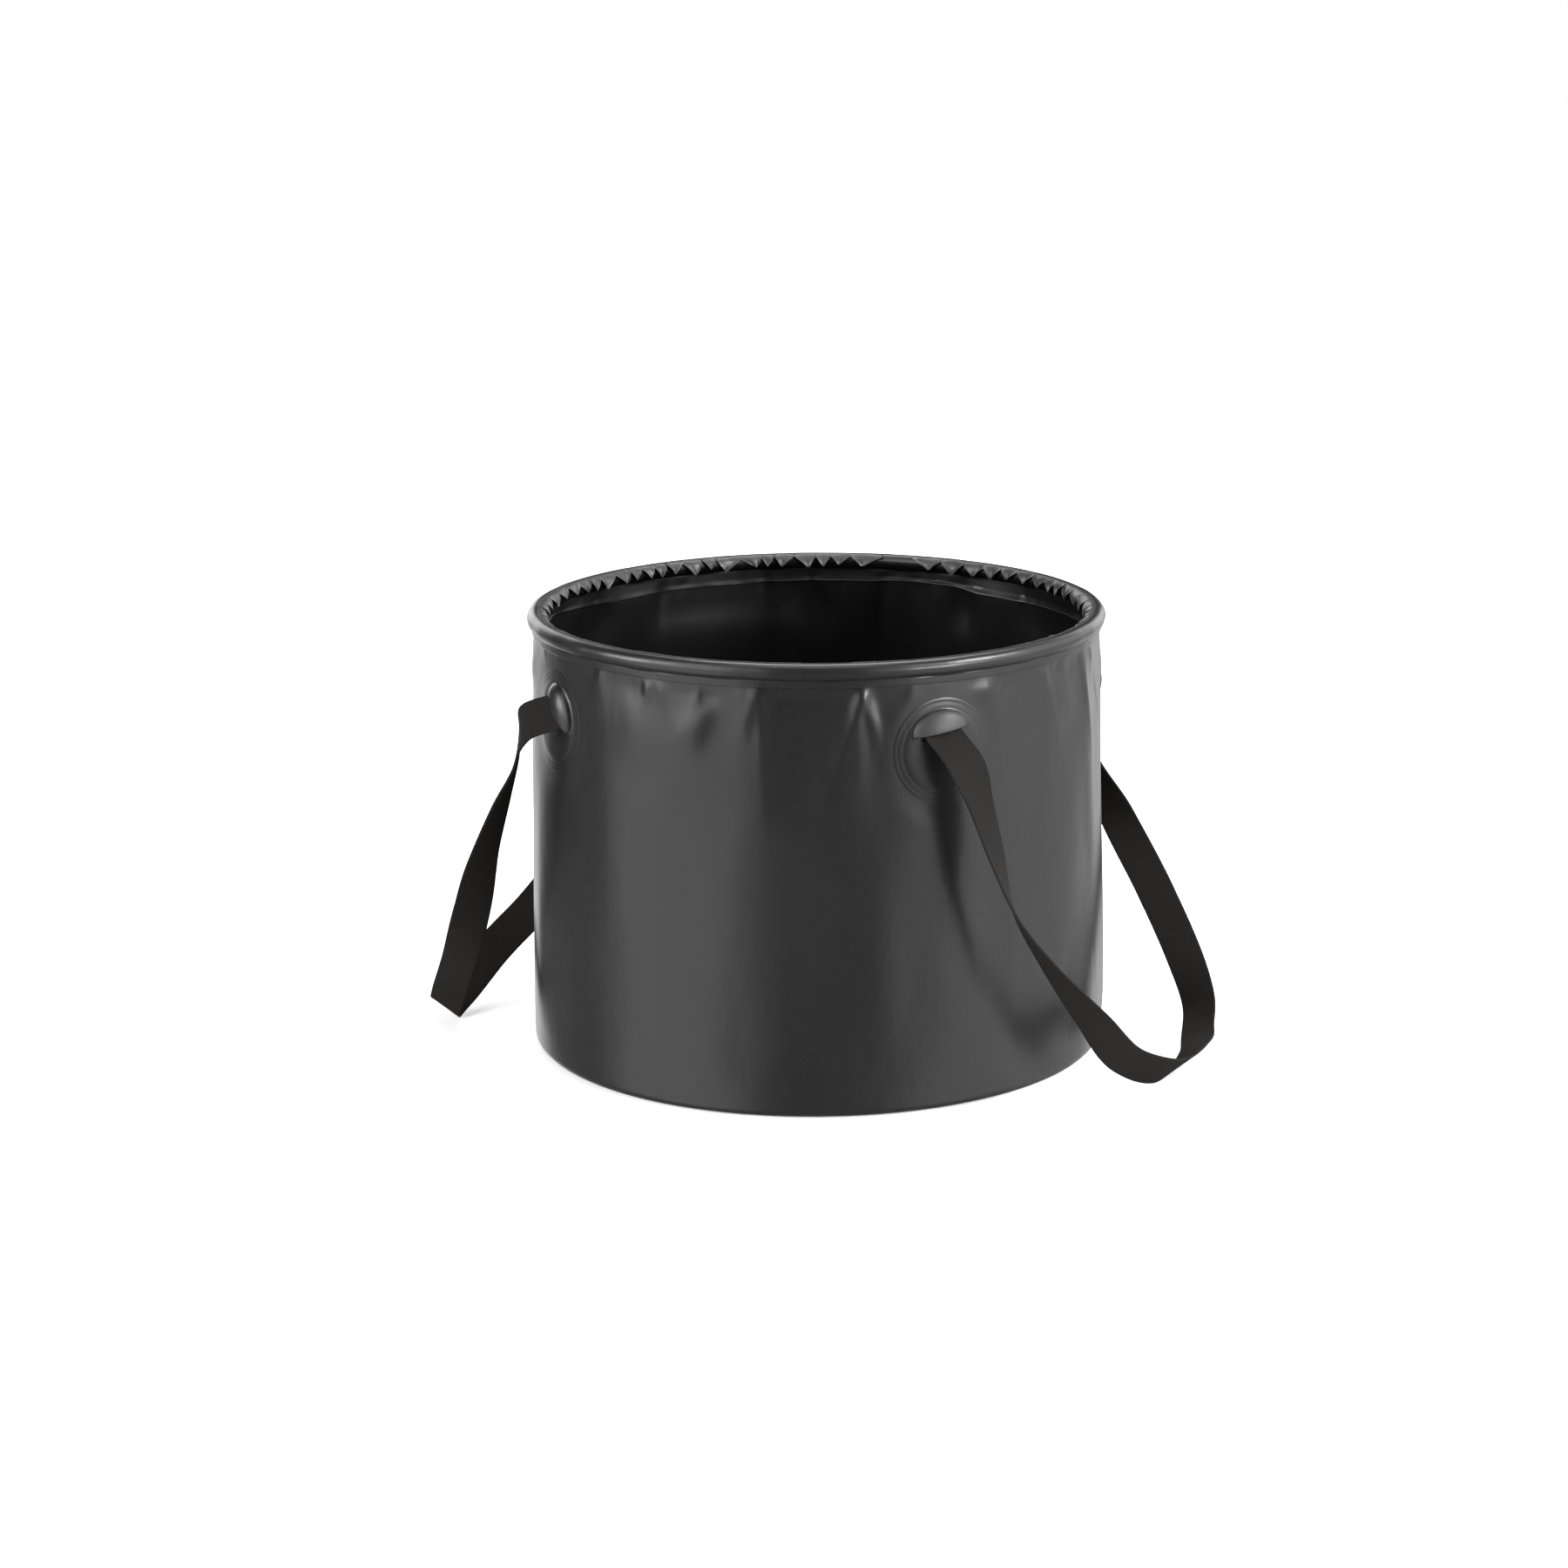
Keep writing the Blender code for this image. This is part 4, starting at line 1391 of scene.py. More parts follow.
@dataclass
class Hem:
    """The strip folded over the hoop, its inner side gathered into small pleats.

    Attributes:
        form: the bucket's shared form.
        material: the sheet's finish.
        inside_shade: its finish inside, a near-black copy of the sheet: painted shade under the roll.
        pleat_highlight: its finish where it is gathered and at the inner leaf's lower edge, a much lighter
            copy of the sheet: painted highlight.
        steps: how finely it is divided round.
        pleat_across: how finely a pleat is divided across.
        pleat_down: and from the top of the roll to its tip.
        pleat_from: degrees round the roll at which the pleats start.
        pleat_to: and where their tips are.
        pleat_skin: thickness of a pleat.
        pleat_lift: how far its tip stands off the roll.
        pleat_lip: how far its folded edges stand up.
        pleat_half: degrees that it reaches to either side of its tip at most.
        flare: how far the lower edge of the inner leaf stands in.
        flare_reach: how far up from that edge it starts.
    """

    form: BucketForm
    material: bpy.types.Material
    inside_shade: bpy.types.Material
    pleat_highlight: bpy.types.Material
    steps: int = 860
    pleat_across: int = 18
    pleat_down: int = 20
    pleat_from: float = 76.0
    pleat_to: float = 206.0
    pleat_skin: float = 0.5 * MM
    pleat_lift: float = 1.9 * MM
    pleat_lip: float = 0.6 * MM
    pleat_half: float = 4.4
    flare: float = 1.3 * MM
    flare_reach: float = 1.8 * MM

    def build(self) -> None:
        """Make the hem over its hoop, and its pleats."""
        form = self.form
        roll = Bench.turn("rim_hem_roll", self.outline(), self.steps, closed=True)
        Bench.chart(roll, self.cloth, math.tau * form.rim_radius)
        heights = Bench.heights(roll)
        lip = heights < form.height - form.hem_inside + 0.7 * MM
        Bench.reshape(roll, self.settle)
        Bench.dress(roll, self.material, Slot.SHEET, Body.RIM, ("rim_hem",), crease=55.0)
        # Painted shade: the hem's inner faces under the top of the roll take the near-black copy of the
        # sheet.
        Bench.line(roll, self.inside_shade, kept=heights > form.hoop_z + 1.5 * MM)
        # Painted highlight: the inner leaf's lower edge takes the lighter copy of the sheet.
        Bench.second_finish(roll, self.pleat_highlight, lip)
        # Painted highlight: the pleats take the lighter copy of the sheet.
        Bench.dress(self.pleats(), self.pleat_highlight, Slot.SHEET, Body.RIM, crease=50.0)

    def outline(self) -> list[Point]:
        """The folded strip's section: the roll, the sleeve in it and the two leaves.

        Returns:
            Its points, as radius and height.
        """
        form = self.form
        centre = (form.hoop_radius, form.hoop_z)
        sleeve = form.hoop_wire + form.fit
        out = form.wall_top_radius + form.fit
        inner = form.wall_top_radius - form.sheet - form.fit
        low_out, low_in = form.hem_low, form.height - form.hem_inside

        def angle_at(radius: float, reach: float) -> float:
            """Degrees round the roll at which a leaf of that radius meets it."""
            return -math.degrees(math.acos((radius - form.hoop_radius) / reach))

        start = angle_at(out + form.sheet, form.roll_radius)
        end = 360.0 + angle_at(inner - form.sheet, form.roll_radius)
        over = arc(centre, form.roll_radius, start, end, 42)
        under = arc(centre, sleeve, 360.0 + angle_at(inner, sleeve), angle_at(out, sleeve), 10)
        half = form.sheet / 2
        outline = arc((out + half, low_out + half), half, -90.0, 0.0, 3)
        outline += stretch((out + form.sheet, low_out + 1.2 * MM), over[0], 6)
        outline += over
        outline += stretch(over[-1], (inner - form.sheet, low_in + half), 10)[1:]
        outline += arc((inner - half, low_in + half), half, 180.0, 270.0, 3)
        outline += [(inner, low_in + half)] + under + [(out, low_out + half)]
        return outline

    def cloth(self, points: np.ndarray) -> np.ndarray:
        """Places on the strip: round the rim, and round the roll or down a leaf.

        Args:
            points: one row each.

        Returns:
            Two numbers for each point, in metres.
        """
        form = self.form
        _, radius, z = polar(points)
        roll = np.arctan2(radius - form.hoop_radius, z - form.hoop_z) * form.roll_radius
        return np.stack([form.along_rim(points), roll + z], axis=1)

    def settle(self, points: np.ndarray) -> np.ndarray:
        """Let the leaves follow the creased wall, and turn the inner one's edge in.

        Args:
            points: of the plain hem, one row each.

        Returns:
            The moved points.
        """
        form = self.form
        azimuth, radius, z = polar(points)
        turn = np.radians(azimuth)
        grown = radius + form.crease(azimuth, z)
        places, sags, flares = np.array(LEAF_EDGE).T
        sag = np.interp(azimuth, places, sags, period=360.0) * MM
        flare = np.interp(azimuth, places, flares, period=360.0) * self.flare
        low_in = form.height - form.hem_inside
        inner = radius < form.wall_top_radius - 0.9 * form.sheet
        turned = np.clip((low_in + self.flare_reach - z) / self.flare_reach, 0.0, 1.0) * inner
        waved = flare * (1.0 + 0.12 * np.sin(19 * turn + 1.0)) + 0.2 * MM * np.sin(31 * turn)
        grown -= waved * turned
        sag_reach = 2.2 * self.flare_reach
        lowered = np.clip((low_in + sag_reach - z) / sag_reach, 0.0, 1.0) * inner
        wave = 0.10 * np.sin(23 * turn) + 0.07 * np.sin(41 * turn + 1.0)
        away = np.hypot(radius - form.hoop_radius, z - form.hoop_z)
        on_roll = smooth((away - form.hoop_wire) / form.sheet) * (z > form.hoop_z - form.roll_radius)
        return from_polar(turn, grown + wave * MM * on_roll, z - sag * lowered)

    @staticmethod
    def tips() -> list[float]:
        """Azimuths of the pleats' tips all the way round, with one plain stretch at the back.

        Returns:
            The azimuths, rising.
        """
        draw = np.random.default_rng(5)
        tips = list(PLEAT_TIPS)
        while tips[-1] < PLEAT_TIPS[0] + 360.0 - 8.0:
            tips.append(tips[-1] + draw.uniform(3.2, 6.6))
        return tips

    def pleats(self) -> bpy.types.Object:
        """The pleats: one is modelled flat, and a copy of it is folded over at each tip.

        Returns:
            All the pleats as one piece.
        """
        tips = self.tips()
        draw = np.random.default_rng(8)
        Bench.pick()
        bpy.ops.mesh.primitive_grid_add(
            x_subdivisions=self.pleat_across, y_subdivisions=self.pleat_down, size=2.0
        )
        pattern = bpy.context.active_object
        Bench.chart(pattern, lambda points: points[:, :2] * (8 * MM, 8 * MM))
        Bench.finish_with(pattern, "SOLIDIFY", thickness=1.0, offset=0.0)
        before, after = [tips[-1] - 360.0, *tips], [*tips, tips[0] + 360.0]
        edges = [(last + tip) / 2 for last, tip in zip(before, after)]
        pieces = []
        for tip, first, last in zip(tips, edges, edges[1:]):
            first, last = max(first, tip - self.pleat_half), min(last, tip + self.pleat_half)
            size, reach = draw.uniform(0.6, 1.35), draw.uniform(0.90, 1.06)
            piece = Bench.copy(pattern, f"pleat_{len(pieces)}")
            Bench.reshape(piece, self.fold_over(tip, first, last, size, reach))
            pieces.append(piece)
        bpy.data.objects.remove(pattern, do_unlink=True)
        Bench.pick(pieces[0])
        for piece in pieces:
            piece.select_set(True)
        bpy.ops.object.join()
        pieces[0].name = "hem_pleats"
        Bench.edit(pieces[0])
        Bench.close(pieces[0])
        return pieces[0]

    def fold_over(self, tip: float, first: float, last: float, size: float, reach: float) -> Move:
        """The rule that folds a flat pleat over the roll.

        Args:
            tip: azimuth of its tip.
            first: azimuth of its one side at the top.
            last: and of its other.
            size: how boldly it stands off.
            reach: how far down its tip comes.

        Returns:
            The rule, for points two across and two down.
        """
        form = self.form

        def move(points: np.ndarray) -> np.ndarray:
            """Points of the flat pleat, folded over the roll.

            Args:
                points: two across and two down, one row each.

            Returns:
                The moved points.
            """
            down = 1.0 - (0.5 - points[:, 1] / 2) ** 1.5
            taper = np.clip((down - 0.60) / 0.40, 0.0, 1.0)
            wide = 1.0 - 0.93 * taper
            middle = (first + last) / 2 * (1.0 - taper) + tip * taper
            azimuth = middle + points[:, 0] * (last - first) / 2 * wide
            half = np.radians(last - first) / 2
            to_edge = (1.0 - np.abs(points[:, 0])) * half * wide * form.hoop_radius
            lip = np.exp(-((to_edge / (0.9 * MM)) ** 2)) * smooth((down - 0.35) / 0.3)
            lift = size * self.pleat_lift * np.clip((down - 0.15) / 0.85, 0.0, 1.0) ** 1.6
            lift += 0.28 * MM * np.sin(3.1 * points[:, 0] + 40 * size) * smooth((down - 0.3) / 0.3)
            sunk = 0.5 * MM * (1.0 - smooth((down - 0.05) / 0.3))
            away = form.roll_radius + lift - sunk + size * self.pleat_lip * lip
            away += points[:, 2] * self.pleat_skin
            roll = np.radians(self.pleat_from + (self.pleat_to * reach - self.pleat_from) * down)
            radius, z = form.hoop_radius + away * np.cos(roll), form.hoop_z + away * np.sin(roll)
            return from_polar(np.radians(azimuth), radius, z)

        return move


@dataclass
class BasePanel:
    """The base sheet, flat in the middle and stepped up over the wall's turned-in edge.

    Attributes:
        form: the bucket's shared form.
        material: the sheet's finish.
        sheet: its thickness.
        steps: how finely it is divided round.
        pillow: how far it bellies up between weld and middle.
    """

    form: BucketForm
    material: bpy.types.Material
    sheet: float = 1.0 * MM
    steps: int = 180
    pillow: float = 0.7 * MM

    def build(self) -> None:
        """Make the base sheet."""
        form = self.form
        outer = float(form.plain_radius(form.base_corner)) - form.base_corner
        over = form.sheet + form.fit
        step_high = outer - form.flange - form.fit
        step_low = step_high - 2 * over
        under = stretch((0.0, 0.0), (step_low, 0.0), 22) + [(step_low, 0.0), (step_high, over)]
        under += stretch((step_high + 3 * MM, over), (outer, over), 4)
        round_edge = arc((outer - self.sheet / 2, over + self.sheet / 2), self.sheet / 2, -80.0, 80.0, 4)
        above = [(radius, height + self.sheet) for radius, height in reversed(under)]
        outline = under + round_edge + above
        piece = Bench.turn("base_sheet_panel", outline, self.steps, closed=False)
        Bench.chart(piece, flat)
        Bench.reshape(piece, self.belly(step_low))
        Bench.dress(piece, self.material, Slot.BASE, Body.BASE, ("base_panel",), crease=40.0)

    def belly(self, reach: float) -> Move:
        """The rule that lifts the sheet in faint waves, none of them at its middle or its weld.

        Args:
            reach: radius of the sheet inside its weld.

        Returns:
            The rule.
        """

        def move(points: np.ndarray) -> np.ndarray:
            """Points of the flat sheet, lifted in its waves.

            Args:
                points: one row each.

            Returns:
                The moved points.
            """
            radius = np.hypot(points[:, 0], points[:, 1]) / reach
            turn = np.arctan2(points[:, 1], points[:, 0])
            ring = smooth((radius - 0.12) / 0.3) * (1.0 - smooth((radius - 0.62) / 0.33))
            wave = 0.55 + 0.3 * np.sin(3 * turn + 0.7) + 0.15 * np.sin(7 * turn + 2.0)
            lift = self.pillow * ring * wave
            return points + np.stack([lift * 0.0, lift * 0.0, lift], axis=1)

        return move


@dataclass
class RoundFittings:
    """The four fittings: each a round patch on the wall, and a smaller one with its moulded hood.

    Attributes:
        form: the bucket's shared form.
        sheet_material: the patch's finish.
        hood_material: the hood's finish.
        patch_radius: of the larger patch.
        patch_high: how far it stands off the wall.
        hood_radius: of the smaller one.
        hood_sheet: its thickness.
        dome_width: across the hood's mouth, outside.
        dome_length: mouth to closed end.
        dome_rise: above its patch.
        dome_skin: thickness over the mouth.
        dome_cheek: thickness at the hood's two feet.
        mouth_up: from the middle of the patch to the mouth.
        pocket_half: half the room for the webbing, across.
        pocket_depth: how far that room goes in.
        pocket_mouth: height of its ceiling over the wall, at the mouth.
        voxel: grain of the remesh that softens the mould's edges.
    """

    form: BucketForm
    sheet_material: bpy.types.Material
    hood_material: bpy.types.Material
    patch_radius: float = 26.8 * MM
    patch_high: float = 0.45 * MM
    hood_radius: float = 22.3 * MM
    hood_sheet: float = 0.6 * MM
    dome_width: float = 30 * MM
    dome_length: float = 10.8 * MM
    dome_rise: float = 5 * MM
    dome_skin: float = 1.0 * MM
    dome_cheek: float = 1.8 * MM
    mouth_up: float = 10 * MM
    pocket_half: float = 10.6 * MM
    pocket_depth: float = 6.6 * MM
    pocket_mouth: float = 4.1 * MM
    voxel: float = 0.4 * MM

    def build(self) -> None:
        """Model the patch and the hood flat, once each, and lay a copy at every fitting."""
        patch, hood = self.flat_patch(), self.flat_hood()
        low = Bench.heights(hood) < self.hood_low + self.hood_sheet + 0.3 * MM
        for place in FITTINGS:
            disc = Bench.copy(patch, f"patch_disc_{place.name}")
            self.lay(disc, place, 0.0)
            nodes = (f"patch_base_{place.name}",)
            Bench.dress(disc, self.sheet_material, Slot.SHEET, Body.RIM, nodes)
            mould = Bench.copy(hood, f"hood_{place.name}")
            self.lay(mould, place, place.lean)
            nodes = (f"patch_hood_{place.name}",)
            Bench.dress(mould, self.hood_material, Slot.HOOD, Body.RIM, nodes, crease=60.0)
            # The low faces are the patch's own sheet. The left hoods take the dark sheet all over: painted
            # shade, the same mould as the lighter hoods on the right.
            Bench.second_finish(mould, self.sheet_material, low | (abs(place.azimuth) > 90.0))
        for pattern in (patch, hood):
            bpy.data.objects.remove(pattern, do_unlink=True)

    def lay(self, piece: bpy.types.Object, place: Fitting, lean: float) -> None:
        """Lean a flat piece, roll it onto the wall and turn its faces outward again.

        Args:
            piece: the flat piece.
            place: the fitting that it is for.
            lean: degrees that it leans.
        """
        turn = np.array(Matrix.Rotation(math.radians(lean), 3, "Z"))
        Bench.reshape(piece, lambda points: self.form.on_wall(place, points @ turn.T))
        Bench.edit(piece)
        bpy.ops.mesh.normals_make_consistent(inside=False)
        Bench.pick(piece)

    @property
    def hood_low(self) -> float:
        """Height over the wall at which the smaller patch starts."""
        return self.patch_high - 0.15 * MM

    def flat_patch(self) -> bpy.types.Object:
        """The larger patch, with a welded ring pressed into it near its edge.

        Returns:
            The piece.
        """
        low, high = -0.15 * MM, self.patch_high
        edge = self.patch_radius
        outline = stretch((0.0, low), (edge, low), 9) + [(edge, low), (edge - 0.1 * MM, 0.14 * MM)]
        rings = ((0.6, 0.24), (1.2, 0.29), (1.8, 0.25), (2.4, 0.29), (3.0, 0.35), (3.6, 0.41))
        outline += [(edge - inward * MM, height * MM) for inward, height in rings]
        outline += stretch((edge - 4.4 * MM, high), (0.0, high), 9) + [(0.0, high)]
        piece = Bench.turn("flat_patch", outline, 96, closed=False)
        Bench.chart(piece, flat)
        return piece

    def disc(self) -> bpy.types.Object:
        """The smaller patch as a flat disc with a soft edge, its underside sunk in the larger.

        Returns:
            The piece.
        """
        low, high = self.hood_low, self.hood_low + self.hood_sheet
        edge = self.hood_radius
        outline = [(0.0, 0.05 * MM), (edge - 0.6 * MM, 0.05 * MM), (edge, low)]
        outline += [(edge - 0.5 * MM, low + 0.18 * MM), (edge - 1.4 * MM, low + 0.32 * MM)]
        outline += [(edge - 2.8 * MM, low + 0.5 * MM), (edge - 4.6 * MM, high), (0.0, high)]
        return Bench.turn("flat_hood", outline, 96, closed=False)

    def half_dome(
        self, width: float, length: float, rise: float, floor: float, mouth: float
    ) -> bpy.types.Object:
        """A quarter of an ellipsoid: closed behind, cut off flat at the mouth and the floor.

        Args:
            width: across its mouth.
            length: mouth to closed end.
            rise: floor to crown.
            floor: height of its floor over the wall.
            mouth: how far up from the patch's middle it is cut off.

        Returns:
            The piece.
        """
        Bench.pick()
        bpy.ops.mesh.primitive_uv_sphere_add(segments=72, ring_count=36, radius=1.0)
        piece = bpy.context.active_object
        Bench.edit(piece)
        bpy.ops.transform.resize(value=(width / 2, length, rise), center_override=(0.0, 0.0, 0.0))
        bpy.ops.transform.translate(value=(0.0, self.mouth_up, floor))
        clear = 5 * Bench.weld
        cuts = (
            ((0.0, mouth + clear, 0.0), (0.0, -1.0, 0.0)),
            ((0.0, 0.0, floor + clear), (0.0, 0.0, -1.0)),
        )
        for point, normal in cuts:
            bpy.ops.mesh.select_all(action="SELECT")
            bpy.ops.mesh.bisect(
                plane_co=point,
                plane_no=normal,
                use_fill=True,
                clear_outer=True,
                threshold=Bench.weld / 10,
            )
        Bench.close(piece)
        return piece

    def wedge(self) -> bpy.types.Object:
        """The room for the webbing's end, its ceiling rising towards the mouth.

        Returns:
            The piece.
        """
        form = self.form
        floor = self.hood_low + 0.2 * MM
        mouth = self.mouth_up - form.fit
        back = self.mouth_up + self.pocket_depth
        Bench.pick()
        bpy.ops.mesh.primitive_cube_add(size=1.0)
        piece = bpy.context.active_object

        def taper(points: np.ndarray) -> np.ndarray:
            """Corners of the cube, moved to those of the wedge.

            Args:
                points: the eight corners, one row each.

            Returns:
                The moved corners.
            """
            out = points[:, 1] < 0.0
            top = points[:, 2] > 0.0
            along = np.where(out, mouth - 2 * MM, back)
            ceiling = np.where(out, self.pocket_mouth, self.hood_low + 2.2 * MM)
            height = np.where(top, ceiling, floor)
            return np.stack([points[:, 0] * 2 * self.pocket_half, along, height], axis=1)

        Bench.reshape(piece, taper)
        return piece

    def flat_hood(self) -> bpy.types.Object:
        """The smaller patch and its hood, hollow inside and open at the mouth.

        Returns:
            The piece.
        """
        form = self.form
        top = self.hood_low + self.hood_sheet
        hood = self.disc()
        sunk = top - 0.5 * MM
        rise = self.dome_rise + 0.5 * MM
        dome = self.half_dome(self.dome_width, self.dome_length, rise, sunk, self.mouth_up)
        hollow = self.half_dome(
            self.dome_width - 2 * self.dome_cheek,
            self.dome_length - self.dome_cheek,
            self.dome_rise - self.dome_skin,
            top,
            self.mouth_up - form.fit,
        )
        for tool, operation in ((dome, "UNION"), (hollow, "DIFFERENCE"), (self.wedge(), "DIFFERENCE")):
            Bench.finish_with(hood, "BOOLEAN", object=tool, operation=operation, solver="EXACT")
            bpy.data.objects.remove(tool, do_unlink=True)
        Bench.finish_with(hood, "REMESH", mode="VOXEL", voxel_size=self.voxel, adaptivity=0.0)
        Bench.finish_with(hood, "SMOOTH", factor=0.5, iterations=5)
        Bench.chart(hood, flat)
        return hood


@dataclass
class WebbingHandle:
    """One handle's webbing, in one length from hood to hood.

    Attributes:
        form: the bucket's shared form.
        handle: which handle it is, and its route.
        material: the webbing's finish.
        width: of the webbing.
        thickness: of the webbing.
        tail_depth: how far it goes in behind the mouth.
        mouth_up: from the middle of the patch to the mouth.
        mouth_lift: middle of the webbing over the wall, at the mouth.
        row: distance between the rows of its mesh.
        columns: how finely it is divided across.
        blend_from: in from the hinge line and up.
        blend_to: out from it and down.
    """

    form: BucketForm
    handle: Handle
    material: bpy.types.Material
    width: float = 20 * MM
    thickness: float = 1.3 * MM
    tail_depth: float = 6 * MM
    mouth_up: float = 10 * MM
    mouth_lift: float = 2.9 * MM
    row: float = 1.6 * MM
    columns: int = 12
    blend_from: Point = (11 * MM, 13 * MM)
    blend_to: Point = (7 * MM, 12 * MM)

    def hinge(self) -> tuple[float, float, float]:
        """Where the hinge line crosses the X-Z plane, and half its span.

        Returns:
            X and height of that point, and half the span.
        """
        handle = self.handle
        z = self.form.fitting_z - handle.hinge_drop
        radius = float(self.form.plain_radius(z)) + handle.standoff
        spread = abs(handle.front.azimuth)
        if handle.side < 0:
            spread = 180.0 - spread
        angle = math.radians(spread - handle.hinge_turn)
        return handle.side * radius * math.cos(angle), z, radius * math.sin(angle)

    def on_hood(self, fitting: Fitting, across: float, up: float, height: float) -> np.ndarray:
        """A point given along and across the leaning hood.

        Args:
            fitting: the fitting that the hood is on.
            across: from the hood's middle line.
            up: from the patch's middle towards the closed end.
            height: over the wall.

        Returns:
            The point.
        """
        turn = math.radians(fitting.lean)
        flat_across = across * math.cos(turn) - up * math.sin(turn)
        flat_up = across * math.sin(turn) + up * math.cos(turn)
        return self.form.on_wall(fitting, np.array([[flat_across, flat_up, height]]))[0]

    def tail_rows(self, fitting: Fitting, sense: int) -> list[list[float]]:
        """The webbing inside the hood, from its end out to the mouth.

        Args:
            fitting: the fitting that the hood is on.
            sense: 1 where the route starts there, -1 where it ends.

        Returns:
            Rows of six: a point, and the direction across the webbing.
        """
        low = 2 * self.form.fit + self.form.sheet
        places = (
            (self.mouth_up + self.tail_depth, low + self.thickness / 2),
            (self.mouth_up + 0.6 * self.tail_depth, low + 0.55 * self.thickness),
            (self.mouth_up, self.mouth_lift),
        )
        rows = []
        for up, height in places:
            point = self.on_hood(fitting, 0.0, up, height)
            across = self.on_hood(fitting, MM, up, height) - self.on_hood(fitting, -MM, up, height)
            rows.append([*point, *(sense * across / np.linalg.norm(across))])
        return rows

    @staticmethod
    def tucked(tuck: float, x: float, y: float) -> tuple[float, float]:
        """An end of the hinge line, brought closer to the wall."""
        nearer = 1.0 - tuck / math.hypot(x, y)
        return x * nearer, y * nearer

    def route(self) -> np.ndarray:
        """All the rows of the webbing, front end to rear end.

        Returns:
            Rows of six: a point, and the direction across the webbing.
        """
        handle = self.handle
        x, z, half_span = self.hinge()
        rows = self.tail_rows(handle.front, 1)
        rows.append([*self.tucked(handle.tucks[0], x, -half_span), z, *handle.front_across])
        for out, along, up, across in handle.bends:
            unit = np.array(across) / np.linalg.norm(across)
            height = up * z + self.width / 2 * abs(unit[2])
            rows.append([x + handle.side * out * MM, along * half_span, height, *unit])
        rows.append([*self.tucked(handle.tucks[1], x, half_span), z, *handle.rear_across])
        rows += reversed(self.tail_rows(handle.rear, -1))
        return np.array(rows)

    @staticmethod
    def smooth_route(rows: np.ndarray, dense: int = 30) -> np.ndarray:
        """A centripetal Catmull-Rom curve through the rows.

        Args:
            rows: the rows.
            dense: steps from one row to the next.

        Returns:
            The rows of the curve.
        """
        knots = np.vstack([2 * rows[0] - rows[1], rows, 2 * rows[-1] - rows[-2]])
        out = []
        for index in range(1, len(knots) - 2):
            points = knots[index - 1:index + 3]
            gaps = np.linalg.norm(np.diff(points[:, :3], axis=0), axis=1) ** 0.5
            times = np.concatenate([[0.0], np.cumsum(gaps)])
            last = index == len(knots) - 3
            for step in range(dense + last):
                t = times[1] + gaps[1] * step / dense
                level = list(points)
                for order in (1, 2, 3):
                    starts = (0, 1, 2) if order == 1 else (0, 1) if order == 2 else (1,)
                    spans = {1: 1, 2: 2, 3: 1}[order]
                    grown = []
                    for position, start in enumerate(starts):
                        share = (t - times[start]) / (times[start + spans] - times[start])
                        grown.append(level[position] * (1 - share) + level[position + 1] * share)
                    level = grown
                out.append(level[0])
        return np.array(out)

    def ribbon(self) -> tuple[np.ndarray, np.ndarray, np.ndarray]:
        """Rows at an even distance along the webbing.

        Returns:
            The middle of each row, half the webbing across it, and how far along it is.
        """
        curve = self.smooth_route(self.route())
        middle = curve[:, :3]
        across = curve[:, 3:] / np.linalg.norm(curve[:, 3:], axis=1, keepdims=True)
        run = np.gradient(middle, axis=0)
        run /= np.linalg.norm(run, axis=1, keepdims=True)
        slant = np.linalg.norm(np.cross(run, across), axis=1, keepdims=True)
        reach = across * (self.width / 2) / np.maximum(slant, 0.5)
        travelled = np.concatenate([[0.0], np.cumsum(np.linalg.norm(np.diff(middle, axis=0), axis=1))])
        even = np.linspace(0.0, travelled[-1], int(travelled[-1] / self.row) + 1)
        middle = np.stack([np.interp(even, travelled, middle[:, axis]) for axis in range(3)], axis=1)
        reach = np.stack([np.interp(even, travelled, reach[:, axis]) for axis in range(3)], axis=1)
        return middle, reach, even

    def build(self) -> None:
        """Make the webbing and dress it."""
        handle = self.handle
        middle, reach, even = self.ribbon()
        rows = len(even)
        Bench.pick()
        bpy.ops.mesh.primitive_grid_add(x_subdivisions=self.columns, y_subdivisions=rows - 1, size=1.0)
        piece = bpy.context.active_object
        piece.name = f"webbing_{handle.name}"

        def row_of(points: np.ndarray) -> np.ndarray:
            """The row that each point of the grid is in."""
            return np.round((points[:, 1] + 0.5) * (rows - 1)).astype(int)

        def cloth(points: np.ndarray) -> np.ndarray:
            """Places on the webbing: across it and along it."""
            return np.stack([points[:, 0] * self.width, even[row_of(points)]], axis=1)

        def lay(points: np.ndarray) -> np.ndarray:
            """Points of the grid, laid along the route."""
            row = row_of(points)
            return middle[row] + 2 * points[:, :1] * reach[row]

        Bench.chart(piece, cloth)
        Bench.reshape(piece, lay)
        Bench.finish_with(piece, "SOLIDIFY", thickness=self.thickness, offset=0.0, use_even_offset=True)
        Bench.finish_with(piece, "BEVEL", width=0.45 * MM, segments=3, limit_method="ANGLE")
        nodes = (
            f"handle_strap_{handle.name}",
            f"strap_tail_{handle.front.name}",
            f"strap_tail_{handle.rear.name}",
        )
        Bench.dress(piece, self.material, Slot.WEBBING, None, nodes, crease=60.0)
        x, z, _ = self.hinge()
        start = (x - handle.side * self.blend_from[0], 0.0, z + self.blend_from[1])
        end = (x + handle.side * self.blend_to[0], 0.0, z - self.blend_to[1])
        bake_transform(piece)
        LOG.info("%s: %.0f mm of webbing", piece.name, even[-1] / MM)


